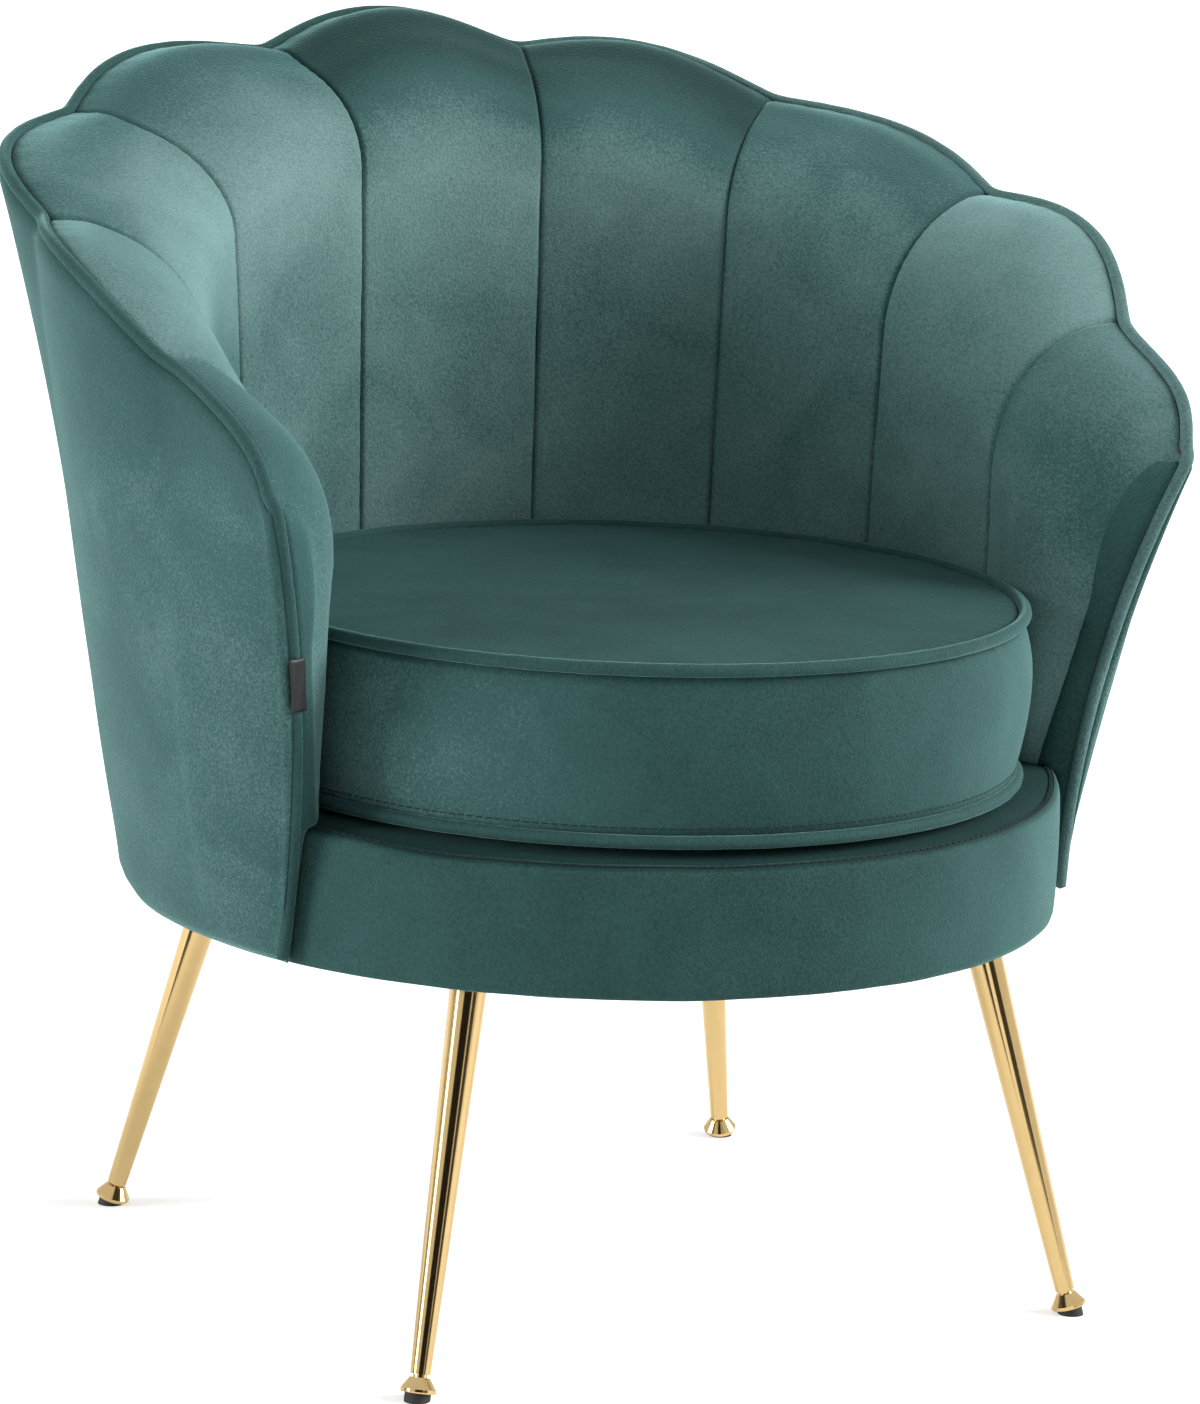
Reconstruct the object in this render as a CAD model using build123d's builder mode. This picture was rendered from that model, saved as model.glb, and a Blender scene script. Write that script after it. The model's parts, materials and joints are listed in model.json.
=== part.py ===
from build123d import *
import os
from math import asin, cos, radians, sin, sqrt, tan

os.makedirs("parts", exist_ok=True)

# Velvet tub chair with a scalloped, channelled shell, a loose round cushion and four brass legs.
# Millimetres. Z is up, the floor is z = 0, the sitter faces -Y, and the feet are centred on the Z axis.

# Fits
SEAT_GAP = 0.3
LAYER_GAP = 0.8
RUNNING_GAP = 0.03
PRESS_GAP = 0.02

# Shell layers
COVER = 1.8
PLY = 8.0
WADDING_MIN = 4.0
WADDING_FOOT = 1.9
INNER_COVER = 2.0
PIPING_RADIUS = 4.2

# Base drum: its plan comes from the shell's bottom, its heights from the shell's lower edge
SHELL_BOTTOM = 254.0
SHELL_BOTTOM_RADIUS = 310.0
BAND_COVER = 3.3
HOOP_WALL = 8.0
HOOP_HEIGHT = 74.0
BOARD = 15.0
RING_WIDTH = 53.0
DECK_RISE = 10.0
DECK_COVER = 1.5
HOOP_RADIUS = SHELL_BOTTOM_RADIUS - COVER - 2 * LAYER_GAP - WADDING_FOOT - PLY - SEAT_GAP
HOOP_BOTTOM = SHELL_BOTTOM + 2.0
HOOP_TOP = HOOP_BOTTOM + HOOP_HEIGHT
BAND_RADIUS = HOOP_RADIUS + SEAT_GAP + BAND_COVER
BOARD_RADIUS = HOOP_RADIUS - HOOP_WALL - SEAT_GAP
RING_INNER = BOARD_RADIUS - RING_WIDTH
STRAIGHT_TOP = HOOP_TOP + 4.0
DECK_TOP = HOOP_TOP + DECK_RISE

# Shell plan and edge line: angles are taken from the middle of the back, flares are outward of the
# shell's bottom, rises are above the deck, depths and drops are inward and downward of the edge line
SEAM_ANGLE = (16.2, 45.2, 72.3, 100.0)
SEAM_FLARE = (38.0, 69.0, 60.0, 45.5)
SEAM_RISE = (428.0, 396.0, 347.0, 284.0)
SEAM_WAIST_FLARE = (12.0, 27.0, 37.0, 39.0)
SEAM_SHOULDER_DEPTH = (100.0, 113.0, 102.0, 85.5)
SEAM_SHOULDER_DROP = (78.0, 81.0, 97.0, 104.0)
CROWN_FLARE = (7.0, 16.0, 22.0, 12.5)
CROWN_RISE = (24.0, 16.0, 8.0, 18.0)
CROWN_SHOULDER_IN = 10.0
CROWN_SHOULDER_UP = 10.0
CROWN_FULLNESS = 0.75
SCALLOP_FULLNESS = 1.3
WAIST_HEIGHT = DECK_TOP + 140.0

# Front channel of each arm, from its seam to the front edge of the arm
ARM_ANGLE = (100.0, 104.5, 109.0, 111.5, 112.8)
ARM_FLARE = (45.5, 46.0, 56.0, 60.0, 61.0)
ARM_RISE = (284.0, 269.5, 252.0, 233.0, 212.0)
ARM_WAIST_FLARE = (39.0, 42.0, 44.0, 44.0, 44.0)
ARM_FOOT_INSET = (9.0, 3.5, 4.5, 10.0, 19.0)
ARM_SHOULDER_DEPTH = (85.5, 88.0, 90.0, 75.0, 56.0)
ARM_SHOULDER_DROP = (104.0, 98.5, 94.0, 95.0, 97.0)
ARM_EDGE_LEAN = 7.5
ARM_EDGE_FLARE = (-1.0, 20.0)
ARM_EDGE_MIDDLE = DECK_TOP + 90.0
LEAN_FROM = SHELL_BOTTOM + 36.0

# Seat springs
SPRING_WIRE = 1.8
SPRING_SPACING = 80.0
SPRING_REACH = RING_INNER + 23.0
SPRING_HALF = 22.0
SPRING_STEP = 22.0
CLIP = (14.0, 9.0, 5.0)

# Seat cushion
CUSHION_FORWARD = 33.0
CUSHION_SETBACK = 9.0
CUSHION_HEIGHT = 114.0
CUSHION_Y = -CUSHION_FORWARD
CUSHION_RADIUS = BAND_RADIUS - CUSHION_SETBACK - CUSHION_FORWARD
CUSHION_BOTTOM = DECK_TOP + SEAT_GAP
CUSHION_SEAM = DECK_TOP + CUSHION_HEIGHT
CUSHION_CROWN = 15.0
CUSHION_PIPING = 4.2
CUSHION_GAP = 2.0
CHANNEL_DEPTH = 7.0
PANEL = 1.5
ZIP_ARC = 90.0
ZIP_HEIGHT = 12.0
ZIP = 0.7

# Legs and levelling glides: the plates sit inside the floor board's edge, and the splay places the feet
PLATE = 3.0
PLATE_SIDE = 56.0
PLATE_INSET = 32.1
PLATE_BEARING = 46.06
PLATE_TOP = HOOP_BOTTOM - 1.0
PLATE_UNDER = PLATE_TOP - PLATE
LEG_DX = -0.2138
LEG_DY = -0.2039
FOOT_X = (BOARD_RADIUS - PLATE_INSET) * sin(radians(PLATE_BEARING)) - LEG_DX * PLATE_UNDER
FOOT_Y = (BOARD_RADIUS - PLATE_INSET) * cos(radians(PLATE_BEARING)) - LEG_DY * PLATE_UNDER
LEG_TOP_RADIUS = 12.5
LEG_TIP_RADIUS = 6.4
LEG_WALL = 1.5
DUST_COVER = 0.6
BOLT_SPACING = 40.0
BOLT_RADIUS = 3.0
BOLT_HEAD = (5.5, 3.5)
BOLT_LENGTH = 16.0
TEE_BARREL = (4.2, 9.0)
TEE_FLANGE = (9.0, 1.3)
PAD_RADIUS = 8.2
PAD_SHOWS = 4.6
PAD_SEAT = 2.0
COLLAR_RADIUS = 11.4
COLLAR_TOP = 14.2
NECK_RADIUS = 4.5
TIP_AT = 16.2
STUD_RADIUS = 3.0
STUD_END = 36.0

# Bolts that hold the shell to the base hoop
SHELL_BOLT_ANGLES = (0.0, 30.0, 58.0, 82.0, 104.0)
SHELL_BOLT_HEIGHT = HOOP_BOTTOM + HOOP_HEIGHT / 2
SHELL_NUT = (5.8, 5.0)
SHELL_BOLT_END = 2.7

# The model's origin is under the middle of its bounding box, on the floor
REAR_REACH = SHELL_BOTTOM_RADIUS + SEAM_FLARE[0] + CROWN_FLARE[0] + PIPING_RADIUS + LAYER_GAP + COVER
FRAME_Y = (BAND_RADIUS - REAR_REACH) / 2


def radial(angle):
    a = radians(angle)
    return Vector(sin(a), cos(a), 0)


def cushion_edge(angle):
    a = radians(angle)
    return CUSHION_Y * cos(a) + sqrt(CUSHION_RADIUS**2 - (CUSHION_Y * sin(a)) ** 2)


def arc_radius(low, mid, high, z):
    """Radius, at height z, of the arc through three (radius, height) points."""
    (ax, ay), (bx, by), (cx, cy) = low, mid, high
    d = 2 * (ax * (by - cy) + bx * (cy - ay) + cx * (ay - by))
    if abs(d) < 1e-6:
        return ax + (cx - ax) * (z - ay) / (cy - ay)
    a2, b2, c2 = ax * ax + ay * ay, bx * bx + by * by, cx * cx + cy * cy
    ux = (a2 * (by - cy) + b2 * (cy - ay) + c2 * (ay - by)) / d
    uy = (a2 * (cx - bx) + b2 * (ax - cx) + c2 * (bx - ax)) / d
    reach = sqrt((ax - ux) ** 2 + (ay - uy) ** 2 - (z - uy) ** 2)
    return ux - reach if ax < ux else ux + reach


class Station:
    """One upright section of the shell and its main points, as (radius, height)."""

    def __init__(self, angle, lean, rim, waist, foot, shoulder, ahead=0.0):
        self.angle = angle
        self.lean = lean
        self.rim = rim
        self.waist = waist
        self.foot = foot
        self.shoulder = shoulder
        out = Vector(radial(angle))
        along = Vector(radial(angle + 90))
        up = Vector(0, 0, 1) * cos(radians(lean)) + along * sin(radians(lean))
        self.plane = Plane(origin=(0, 0, LEAN_FROM), x_dir=out, z_dir=out.cross(up)).offset(ahead)

    def at(self, radius, height):
        return (radius, (height - LEAN_FROM) / cos(radians(self.lean)))

    def cover_outer(self):
        r, z = self.rim
        top = r + PIPING_RADIUS + LAYER_GAP + COVER
        return (SHELL_BOTTOM_RADIUS, SHELL_BOTTOM), (self.waist, WAIST_HEIGHT), (top, z)

    def cover_inner(self):
        return tuple((r - COVER, z) for r, z in self.cover_outer())

    def ply_outer(self):
        r, z = self.rim
        waist = self.waist - COVER - WADDING_MIN - 2 * LAYER_GAP
        foot = HOOP_RADIUS + SEAT_GAP + PLY
        return (foot, STRAIGHT_TOP), (waist, WAIST_HEIGHT), (r - 0.5, z - PIPING_RADIUS - LAYER_GAP)

    def ply_inner(self):
        return tuple((r - PLY, z) for r, z in self.ply_outer())


def arm_stations():
    spread = ARM_ANGLE[-1] - ARM_ANGLE[0]
    rows = zip(ARM_ANGLE, ARM_FLARE, ARM_RISE, ARM_WAIST_FLARE, ARM_FOOT_INSET, ARM_SHOULDER_DEPTH,
               ARM_SHOULDER_DROP)
    result = []
    for angle, flare, rise, waist, inset, depth, drop in rows:
        lean = ARM_EDGE_LEAN * (angle - ARM_ANGLE[0]) / spread
        rim = (SHELL_BOTTOM_RADIUS + flare, DECK_TOP + rise)
        shoulder = (rim[0] - depth, rim[1] - drop)
        foot = cushion_edge(angle) + inset
        result.append(Station(angle, lean, rim, SHELL_BOTTOM_RADIUS + waist, foot, shoulder))
    return result


def channel_stations(channel):
    """Five sections across a channel, from seam to seam; channel 0 is the middle of the back."""
    lower = channel - 1 if channel else 0
    start = SEAM_ANGLE[lower] if channel else -SEAM_ANGLE[0]
    stop = SEAM_ANGLE[channel]
    result = []
    for step in range(5):
        s = step / 4
        swell = (4 * s * (1 - s)) ** CROWN_FULLNESS
        scallop = (4 * s * (1 - s)) ** SCALLOP_FULLNESS

        def across(row):
            return row[lower] * (1 - s) + row[channel] * s

        angle = start + (stop - start) * s
        edge = (SHELL_BOTTOM_RADIUS + across(SEAM_FLARE), DECK_TOP + across(SEAM_RISE))
        rim = (edge[0] + CROWN_FLARE[channel] * scallop, edge[1] + CROWN_RISE[channel] * scallop)
        foot = cushion_edge(angle) + CUSHION_GAP + CHANNEL_DEPTH * (1 - swell)
        shoulder = (
            edge[0] - across(SEAM_SHOULDER_DEPTH) - CROWN_SHOULDER_IN * swell,
            edge[1] - across(SEAM_SHOULDER_DROP) + CROWN_SHOULDER_UP * swell,
        )
        waist = SHELL_BOTTOM_RADIUS + across(SEAM_WAIST_FLARE)
        result.append(Station(angle, 0.0, rim, waist, foot, shoulder))
    return result


def draw(station, *runs):
    """Closes a face from runs of two points (a line) or three points (an arc)."""
    with BuildSketch(station.plane) as outline:
        with BuildLine():
            for run in runs:
                points = [station.at(*p) for p in run]
                if len(points) == 2:
                    Line(*points)
                else:
                    ThreePointArc(*points)
        make_face()
    return outline.sketch


def between(low, high, share_r, share_z):
    return (low[0] + (high[0] - low[0]) * share_r, low[1] + (high[1] - low[1]) * share_z)


def shoulder_arc(station, inset):
    """The rolled top of a channel, inset from the velvet's outer side."""
    r, z = station.rim
    start = (station.shoulder[0] + inset, station.shoulder[1])
    end = (r - PIPING_RADIUS - LAYER_GAP, z - inset)
    mid = between(station.shoulder, (end[0], z), 1 - cos(radians(45)), sin(radians(45)))
    return start, (mid[0] + 0.7 * inset, mid[1] - 0.7 * inset), end


def draw_foam(station):
    inset = INNER_COVER + LAYER_GAP
    low = (station.foot + inset, DECK_TOP + SEAT_GAP)
    ply = station.ply_inner()
    back_low = (arc_radius(*ply, low[1]) - LAYER_GAP, low[1])
    back_mid = (ply[1][0] - LAYER_GAP, ply[1][1])
    back_top = (ply[2][0] - LAYER_GAP, ply[2][1])
    start, mid, end = shoulder_arc(station, inset)
    return draw(station, (low, back_low), (back_low, back_mid, back_top), (back_top, mid, start), (start, low))


def draw_inner_cover(station):
    low = (station.foot, DECK_TOP + SEAT_GAP)
    hidden_low = (low[0] + INNER_COVER, low[1])
    start, mid, end = shoulder_arc(station, 0.0)
    hidden_start, hidden_mid, hidden_end = shoulder_arc(station, INNER_COVER)
    return draw(
        station,
        (low, hidden_low),
        (hidden_low, hidden_start),
        (hidden_start, hidden_mid, hidden_end),
        (hidden_end, end),
        (end, mid, start),
        (start, low),
    )


def draw_ply(station):
    inner = station.ply_inner()
    outer = station.ply_outer()
    inner_foot = (inner[0][0], HOOP_BOTTOM)
    outer_foot = (outer[0][0], HOOP_BOTTOM)
    return draw(
        station,
        (inner_foot, inner[0]),
        inner,
        (inner[2], outer[2]),
        outer[::-1],
        (outer[0], outer_foot),
        (outer_foot, inner_foot),
    )


def draw_wadding(station):
    inner = tuple((r + LAYER_GAP, z) for r, z in station.ply_outer())
    inner_foot = (inner[0][0], HOOP_BOTTOM)
    cover = station.cover_inner()
    low, top = HOOP_BOTTOM, inner[2][1]
    outer = tuple((arc_radius(*cover, z) - LAYER_GAP, z) for z in (low, WAIST_HEIGHT, top))
    return draw(
        station,
        (inner_foot, inner[0]),
        inner,
        (inner[2], outer[2]),
        outer[::-1],
        (outer[0], inner_foot),
    )


def draw_outer_cover(station):
    outer = station.cover_outer()
    inner = station.cover_inner()
    return draw(station, outer, (outer[2], inner[2]), inner[::-1], (inner[0], outer[0]))


def draw_piping(station):
    r, z = station.rim
    p = PIPING_RADIUS
    d = p * sin(radians(45))
    return draw(
        station,
        ((r + p, z), (r + d, z + d), (r, z + p)),
        ((r, z + p), (r - d, z + d), (r - p, z)),
        ((r - p, z), (r - d, z - d), (r, z - p)),
        ((r, z - p), (r + d, z - d), (r + p, z)),
    )


def channel_solid(stations, outline):
    with BuildPart() as solid:
        loft(sections=[outline(station) for station in stations])
    return solid.part


CHANNELS = [channel_stations(k) for k in range(4)]
ARM = arm_stations()
ARM_END = ARM[-1]
SIDE_CHANNELS = CHANNELS[1:] + [ARM]


def whole_shell(outline):
    """One piece that runs round the whole shell, from arm front to arm front."""
    with BuildPart() as side:
        for stations in SIDE_CHANNELS:
            add(channel_solid(stations, outline))
    with BuildPart() as ring:
        add(channel_solid(CHANNELS[0], outline))
        add(side.part)
        mirror(side.part, about=Plane.YZ)
    return ring.part


def save(part, name):
    placed = part.moved(Location((0, FRAME_Y, 0)))
    placed.label = name
    export_step(placed, f"parts/{name}.step")


def arm_edge_plane(ahead):
    """Plane of the arm's front edge, moved forward by a distance, and the forward direction."""
    return ARM_END.plane.offset(ahead), ARM_END.plane.z_dir


# Front edge line of the arm, as the piping runs down it
EDGE_LINE = (
    (SHELL_BOTTOM_RADIUS + ARM_EDGE_FLARE[0], SHELL_BOTTOM),
    (SHELL_BOTTOM_RADIUS + ARM_EDGE_FLARE[1], ARM_EDGE_MIDDLE),
    ARM_END.rim,
)

# Moulded plywood shell
with BuildPart() as shell_ply:
    add(whole_shell(draw_ply))
    for angle in SHELL_BOLT_ANGLES:
        for side in (1, -1):
            if angle or side > 0:
                out = radial(side * angle)
                face = HOOP_RADIUS + SEAT_GAP + PLY
                spot = Plane(origin=out * face + Vector(0, 0, SHELL_BOLT_HEIGHT), z_dir=out)
                with Locations(spot):
                    CounterSinkHole(BOLT_RADIUS + 0.2, 6.4, depth=PLY + 2)
save(shell_ply.part, "shell_ply")

# Wadding between the plywood and the outer velvet
with BuildPart() as outer_wadding:
    add(whole_shell(draw_wadding))
save(outer_wadding.part, "outer_wadding")

# Velvet over the outside of the shell
with BuildPart() as outer_cover:
    add(whole_shell(draw_outer_cover))
save(outer_cover.part, "outer_cover")

# Foam and velvet of the nine channels
CHANNEL_NAMES = ("back", "back_side", "wing", "arm_rear", "arm_front")
with BuildPart() as middle_foam:
    add(channel_solid(CHANNELS[0], draw_foam))
save(middle_foam.part, "channel_foam_back")
with BuildPart() as middle_velvet:
    add(channel_solid(CHANNELS[0], draw_inner_cover))
save(middle_velvet.part, "channel_velvet_back")
for stations, name in zip(SIDE_CHANNELS, CHANNEL_NAMES[1:]):
    with BuildPart() as foam:
        add(channel_solid(stations, draw_foam))
    with BuildPart() as velvet:
        add(channel_solid(stations, draw_inner_cover))
        if name == "arm_front":
            edge, forward = arm_edge_plane(0)
            inner_ply = HOOP_RADIUS + SEAT_GAP
            low = (ARM_END.foot, DECK_TOP + SEAT_GAP)
            start, mid, end = shoulder_arc(ARM_END, 0.0)
            line = tuple((r - PIPING_RADIUS - LAYER_GAP, z) for r, z in EDGE_LINE)
            with BuildSketch(edge):
                with BuildLine():
                    Polyline(*[ARM_END.at(*p) for p in
                               (line[0], (inner_ply, SHELL_BOTTOM), (inner_ply, low[1]), low, start)])
                    ThreePointArc(*[ARM_END.at(*p) for p in (start, mid, end)])
                    ThreePointArc(*[ARM_END.at(*p) for p in line[::-1]])
                make_face()
            extrude(amount=INNER_COVER, dir=forward)
    save(foam.part, f"channel_foam_{name}_left")
    save(velvet.part, f"channel_velvet_{name}_left")
    with BuildPart() as foam_mirrored:
        mirror(foam.part, about=Plane.YZ)
    with BuildPart() as velvet_mirrored:
        mirror(velvet.part, about=Plane.YZ)
    save(foam_mirrored.part, f"channel_foam_{name}_right")
    save(velvet_mirrored.part, f"channel_velvet_{name}_right")

# Piping sewn into the seam round the shell's edge and down the front of each arm
JOINT_SWELL = 0.6
EDGE_AHEAD = PIPING_RADIUS + SEAT_GAP
piping_plane, edge_forward = arm_edge_plane(EDGE_AHEAD)
edge_top = piping_plane.from_local_coords(Vector(*ARM_END.at(*ARM_END.rim), 0))
turn_station = Station(
    ARM_END.angle, ARM_END.lean, ARM_END.rim, ARM_END.waist, ARM_END.foot, ARM_END.shoulder, EDGE_AHEAD
)
with BuildPart() as arm_piping:
    with BuildLine(piping_plane) as edge_path:
        ThreePointArc(*[ARM_END.at(*p) for p in EDGE_LINE])
    with BuildSketch(Plane(origin=edge_path.line @ 0, z_dir=edge_path.line % 0)):
        Circle(PIPING_RADIUS)
    sweep(path=edge_path.line)
    with Locations(edge_top):
        Sphere(PIPING_RADIUS + JOINT_SWELL)
    add(channel_solid((ARM_END, turn_station), draw_piping))
with BuildPart() as rim_piping:
    add(whole_shell(draw_piping))
    add(arm_piping.part)
    mirror(arm_piping.part, about=Plane.YZ)
save(rim_piping.part, "rim_piping")

# Plain ribbon tab on the front piping of one arm
TAB = (13.0, 34.0, 1.2)
TAB_HEIGHT = DECK_TOP + 97.0
TAB_REACH = 0.9
tab_plane, tab_forward = arm_edge_plane(2 * PIPING_RADIUS + 2 * SEAT_GAP + 0.2)
with BuildPart() as tab_side:
    with BuildSketch(tab_plane):
        with Locations(ARM_END.at(arc_radius(*EDGE_LINE, TAB_HEIGHT) + TAB_REACH, TAB_HEIGHT)):
            Rectangle(TAB[0], TAB[1])
    extrude(amount=TAB[2], dir=tab_forward)
with BuildPart() as side_tab:
    mirror(tab_side.part, about=Plane.YZ)
save(side_tab.part, "side_tab")

# Places of the legs: where each leg axis meets the floor, and its direction upward
LEG_NAMES = {"rear_left": (1, 1), "rear_right": (-1, 1), "front_left": (1, -1), "front_right": (-1, -1)}


def leg_axis(sx, sy):
    foot = Vector(sx * FOOT_X, sy * FOOT_Y, 0)
    return foot, Vector(sx * LEG_DX, sy * LEG_DY, 1).normalized()


def plate_location(sx, sy, z):
    x = sx * (FOOT_X + LEG_DX * PLATE_UNDER)
    y = sy * (FOOT_Y + LEG_DY * PLATE_UNDER)
    turn = Vector(1, 0, 0).get_signed_angle(Vector(x, y, 0), Vector(0, 0, 1))
    return Location((x, y, z), (0, 0, turn))


LEG_SPOTS = [plate_location(sx, sy, 0) for sx, sy in LEG_NAMES.values()]

# Base drum: floor board, hoop, top ring and posts
FLOOR_TOP = HOOP_BOTTOM + BOARD
with BuildPart() as base_floor:
    with BuildSketch(Plane.XY.offset(HOOP_BOTTOM)):
        Circle(BOARD_RADIUS)
        with Locations(LEG_SPOTS):
            with GridLocations(BOLT_SPACING, BOLT_SPACING, 2, 2):
                Circle(TEE_BARREL[0] + PRESS_GAP, mode=Mode.SUBTRACT)
    extrude(amount=BOARD)
save(base_floor.part, "base_floor")

with BuildPart() as base_hoop:
    with BuildSketch(Plane.XY.offset(HOOP_BOTTOM)):
        Circle(HOOP_RADIUS)
        Circle(HOOP_RADIUS - HOOP_WALL, mode=Mode.SUBTRACT)
    extrude(amount=HOOP_TOP - HOOP_BOTTOM)
    for angle in SHELL_BOLT_ANGLES:
        for side in (1, -1):
            if angle or side > 0:
                out = radial(side * angle)
                spot = Plane(origin=out * HOOP_RADIUS + Vector(0, 0, SHELL_BOLT_HEIGHT), z_dir=out)
                with Locations(spot):
                    Hole(BOLT_RADIUS + 0.2, depth=HOOP_WALL + 2)
save(base_hoop.part, "base_hoop")

with BuildPart() as base_ring:
    with BuildSketch(Plane.XY.offset(HOOP_TOP - BOARD)):
        Circle(BOARD_RADIUS)
        Circle(RING_INNER, mode=Mode.SUBTRACT)
    extrude(amount=BOARD)
save(base_ring.part, "base_ring")

POST = (30.0, 40.0)
POST_AT = BOARD_RADIUS - 26.0
POST_ANGLES = (20.0, 70.0, 110.0, 160.0, 200.0, 250.0, 290.0, 340.0)
with BuildPart() as base_posts:
    with BuildSketch(Plane.XY.offset(FLOOR_TOP)):
        for angle in POST_ANGLES:
            out = radial(angle)
            with Locations(Location((out.X * POST_AT, out.Y * POST_AT), 90 - angle)):
                Rectangle(POST[0], POST[1])
    extrude(amount=HOOP_TOP - BOARD - FLOOR_TOP)
save(base_posts.part, "base_posts")

# Zigzag seat springs and their clips
SPRING_Z = HOOP_TOP + SPRING_WIRE + SEAT_GAP
SPRING_LINES = [row * SPRING_SPACING for row in (-2, -1, 0, 1, 2)]


def spring_rows(x):
    half = int(sqrt(SPRING_REACH**2 - x**2) // SPRING_STEP)
    return [row * SPRING_STEP for row in range(-half, half + 1)]


with BuildPart() as seat_springs:
    for x in SPRING_LINES:
        points = []
        for row, y in enumerate(spring_rows(x)):
            reach = SPRING_HALF if row % 2 else -SPRING_HALF
            points += [(x + reach, y), (x - reach, y)]
        with BuildLine(Plane.XY.offset(SPRING_Z)) as wire:
            FilletPolyline(*points, radius=SPRING_STEP / 2 - 0.8)
        with BuildSketch(Plane(origin=wire.line @ 0, z_dir=wire.line % 0)):
            Circle(SPRING_WIRE)
        sweep(path=wire.line)
save(seat_springs.part, "seat_springs")

with BuildPart() as spring_clips:
    for x in SPRING_LINES:
        rows = spring_rows(x)
        with Locations((x, rows[0], HOOP_TOP), (x, rows[-1], HOOP_TOP)):
            Box(*CLIP, align=(Align.CENTER, Align.CENTER, Align.MIN))
        with Locations((x, rows[0], SPRING_Z), (x, rows[-1], SPRING_Z)):
            Cylinder(SPRING_WIRE + PRESS_GAP, 2 * CLIP[0], rotation=(0, 90, 0), mode=Mode.SUBTRACT)
save(spring_clips.part, "spring_clips")

# Deck: felt, edge roll and velvet top
DECK_SEAM = BAND_RADIUS - 8.7
FELT_TOP = DECK_TOP - DECK_COVER - SEAT_GAP
ROLL_WIDTH = 16.0
with BuildPart() as deck_felt:
    with BuildSketch(Plane.XY.offset(HOOP_TOP + CLIP[2] + SEAT_GAP)):
        Circle(HOOP_RADIUS - ROLL_WIDTH - SEAT_GAP)
    extrude(amount=FELT_TOP - HOOP_TOP - CLIP[2] - SEAT_GAP)
save(deck_felt.part, "deck_felt")

with BuildPart() as edge_roll:
    with BuildSketch(Plane.XZ):
        with BuildLine():
            low = HOOP_TOP + SEAT_GAP
            inner = HOOP_RADIUS - ROLL_WIDTH
            side = HOOP_RADIUS - 0.2
            Polyline((inner, FELT_TOP - 2.2), (inner, low), (side, low), (side, low + 1.5))
            ThreePointArc((side, low + 1.5), (side - 1.7, FELT_TOP - 3.4), (side - 6, FELT_TOP - 2.2))
            Line((side - 6, FELT_TOP - 2.2), (inner, FELT_TOP - 2.2))
        make_face()
    revolve(axis=Axis.Z)
save(edge_roll.part, "edge_roll")

with BuildPart() as deck_cover:
    with BuildSketch(Plane.XY.offset(DECK_TOP - DECK_COVER)):
        Circle(DECK_SEAM - SEAT_GAP)
    extrude(amount=DECK_COVER)
save(deck_cover.part, "deck_cover")

# Velvet band over the front of the base, between the arms
BAND_FROM = 104.0
edge_front, _ = arm_edge_plane(INNER_COVER + SEAT_GAP)
with BuildPart() as band_half:
    start = radial(180.0)
    with BuildSketch(Plane(origin=(0, 0, 0), x_dir=start, z_dir=start.cross(Vector(0, 0, 1)))):
        with BuildLine():
            turn = BAND_RADIUS - DECK_SEAM
            under = turn - BAND_COVER
            inner = BAND_RADIUS - BAND_COVER
            centre = DECK_TOP - turn
            slope = sin(radians(45))
            Polyline((inner, centre), (inner, SHELL_BOTTOM), (BAND_RADIUS, SHELL_BOTTOM), (BAND_RADIUS, centre))
            ThreePointArc(
                (BAND_RADIUS, centre),
                (DECK_SEAM + turn * slope, centre + turn * slope),
                (DECK_SEAM, DECK_TOP),
            )
            Line((DECK_SEAM, DECK_TOP), (DECK_SEAM, centre + under))
            ThreePointArc(
                (DECK_SEAM, centre + under),
                (DECK_SEAM + under * slope, centre + under * slope),
                (inner, centre),
            )
        make_face()
    revolve(axis=Axis.Z, revolution_arc=180.0 - BAND_FROM)
    split(bisect_by=Plane(origin=edge_front.origin, z_dir=tab_forward), keep=Keep.TOP)
with BuildPart() as base_band:
    add(band_half.part)
    mirror(band_half.part, about=Plane.YZ)
save(base_band.part, "base_band")

# Black lining under the base
with BuildPart() as dust_cover:
    with BuildSketch(Plane.XY.offset(PLATE_TOP + 0.2)):
        Circle(BOARD_RADIUS)
        with Locations(LEG_SPOTS):
            with GridLocations(BOLT_SPACING, BOLT_SPACING, 2, 2):
                Circle(BOLT_RADIUS + 0.4, mode=Mode.SUBTRACT)
    extrude(amount=DUST_COVER)
save(dust_cover.part, "dust_cover")

# Bolts and nuts between shell and hoop
CSK_ANGLE = 82.0
CSK_RADIUS = 6.2
with BuildPart() as shell_bolts:
    for angle in SHELL_BOLT_ANGLES:
        for side in (1, -1):
            if angle or side > 0:
                out = radial(side * angle)
                face = HOOP_RADIUS + SEAT_GAP + PLY
                spot = Plane(origin=out * (face - 0.1) + Vector(0, 0, SHELL_BOLT_HEIGHT), z_dir=out * -1)
                depth = (CSK_RADIUS - BOLT_RADIUS) / tan(radians(CSK_ANGLE / 2))
                length = PLY + HOOP_WALL + SHELL_NUT[1] + SHELL_BOLT_END
                with Locations(spot):
                    Cone(CSK_RADIUS, BOLT_RADIUS, depth, align=(Align.CENTER, Align.CENTER, Align.MIN))
                    Cylinder(BOLT_RADIUS, length, align=(Align.CENTER, Align.CENTER, Align.MIN))
save(shell_bolts.part, "shell_bolts")

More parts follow.
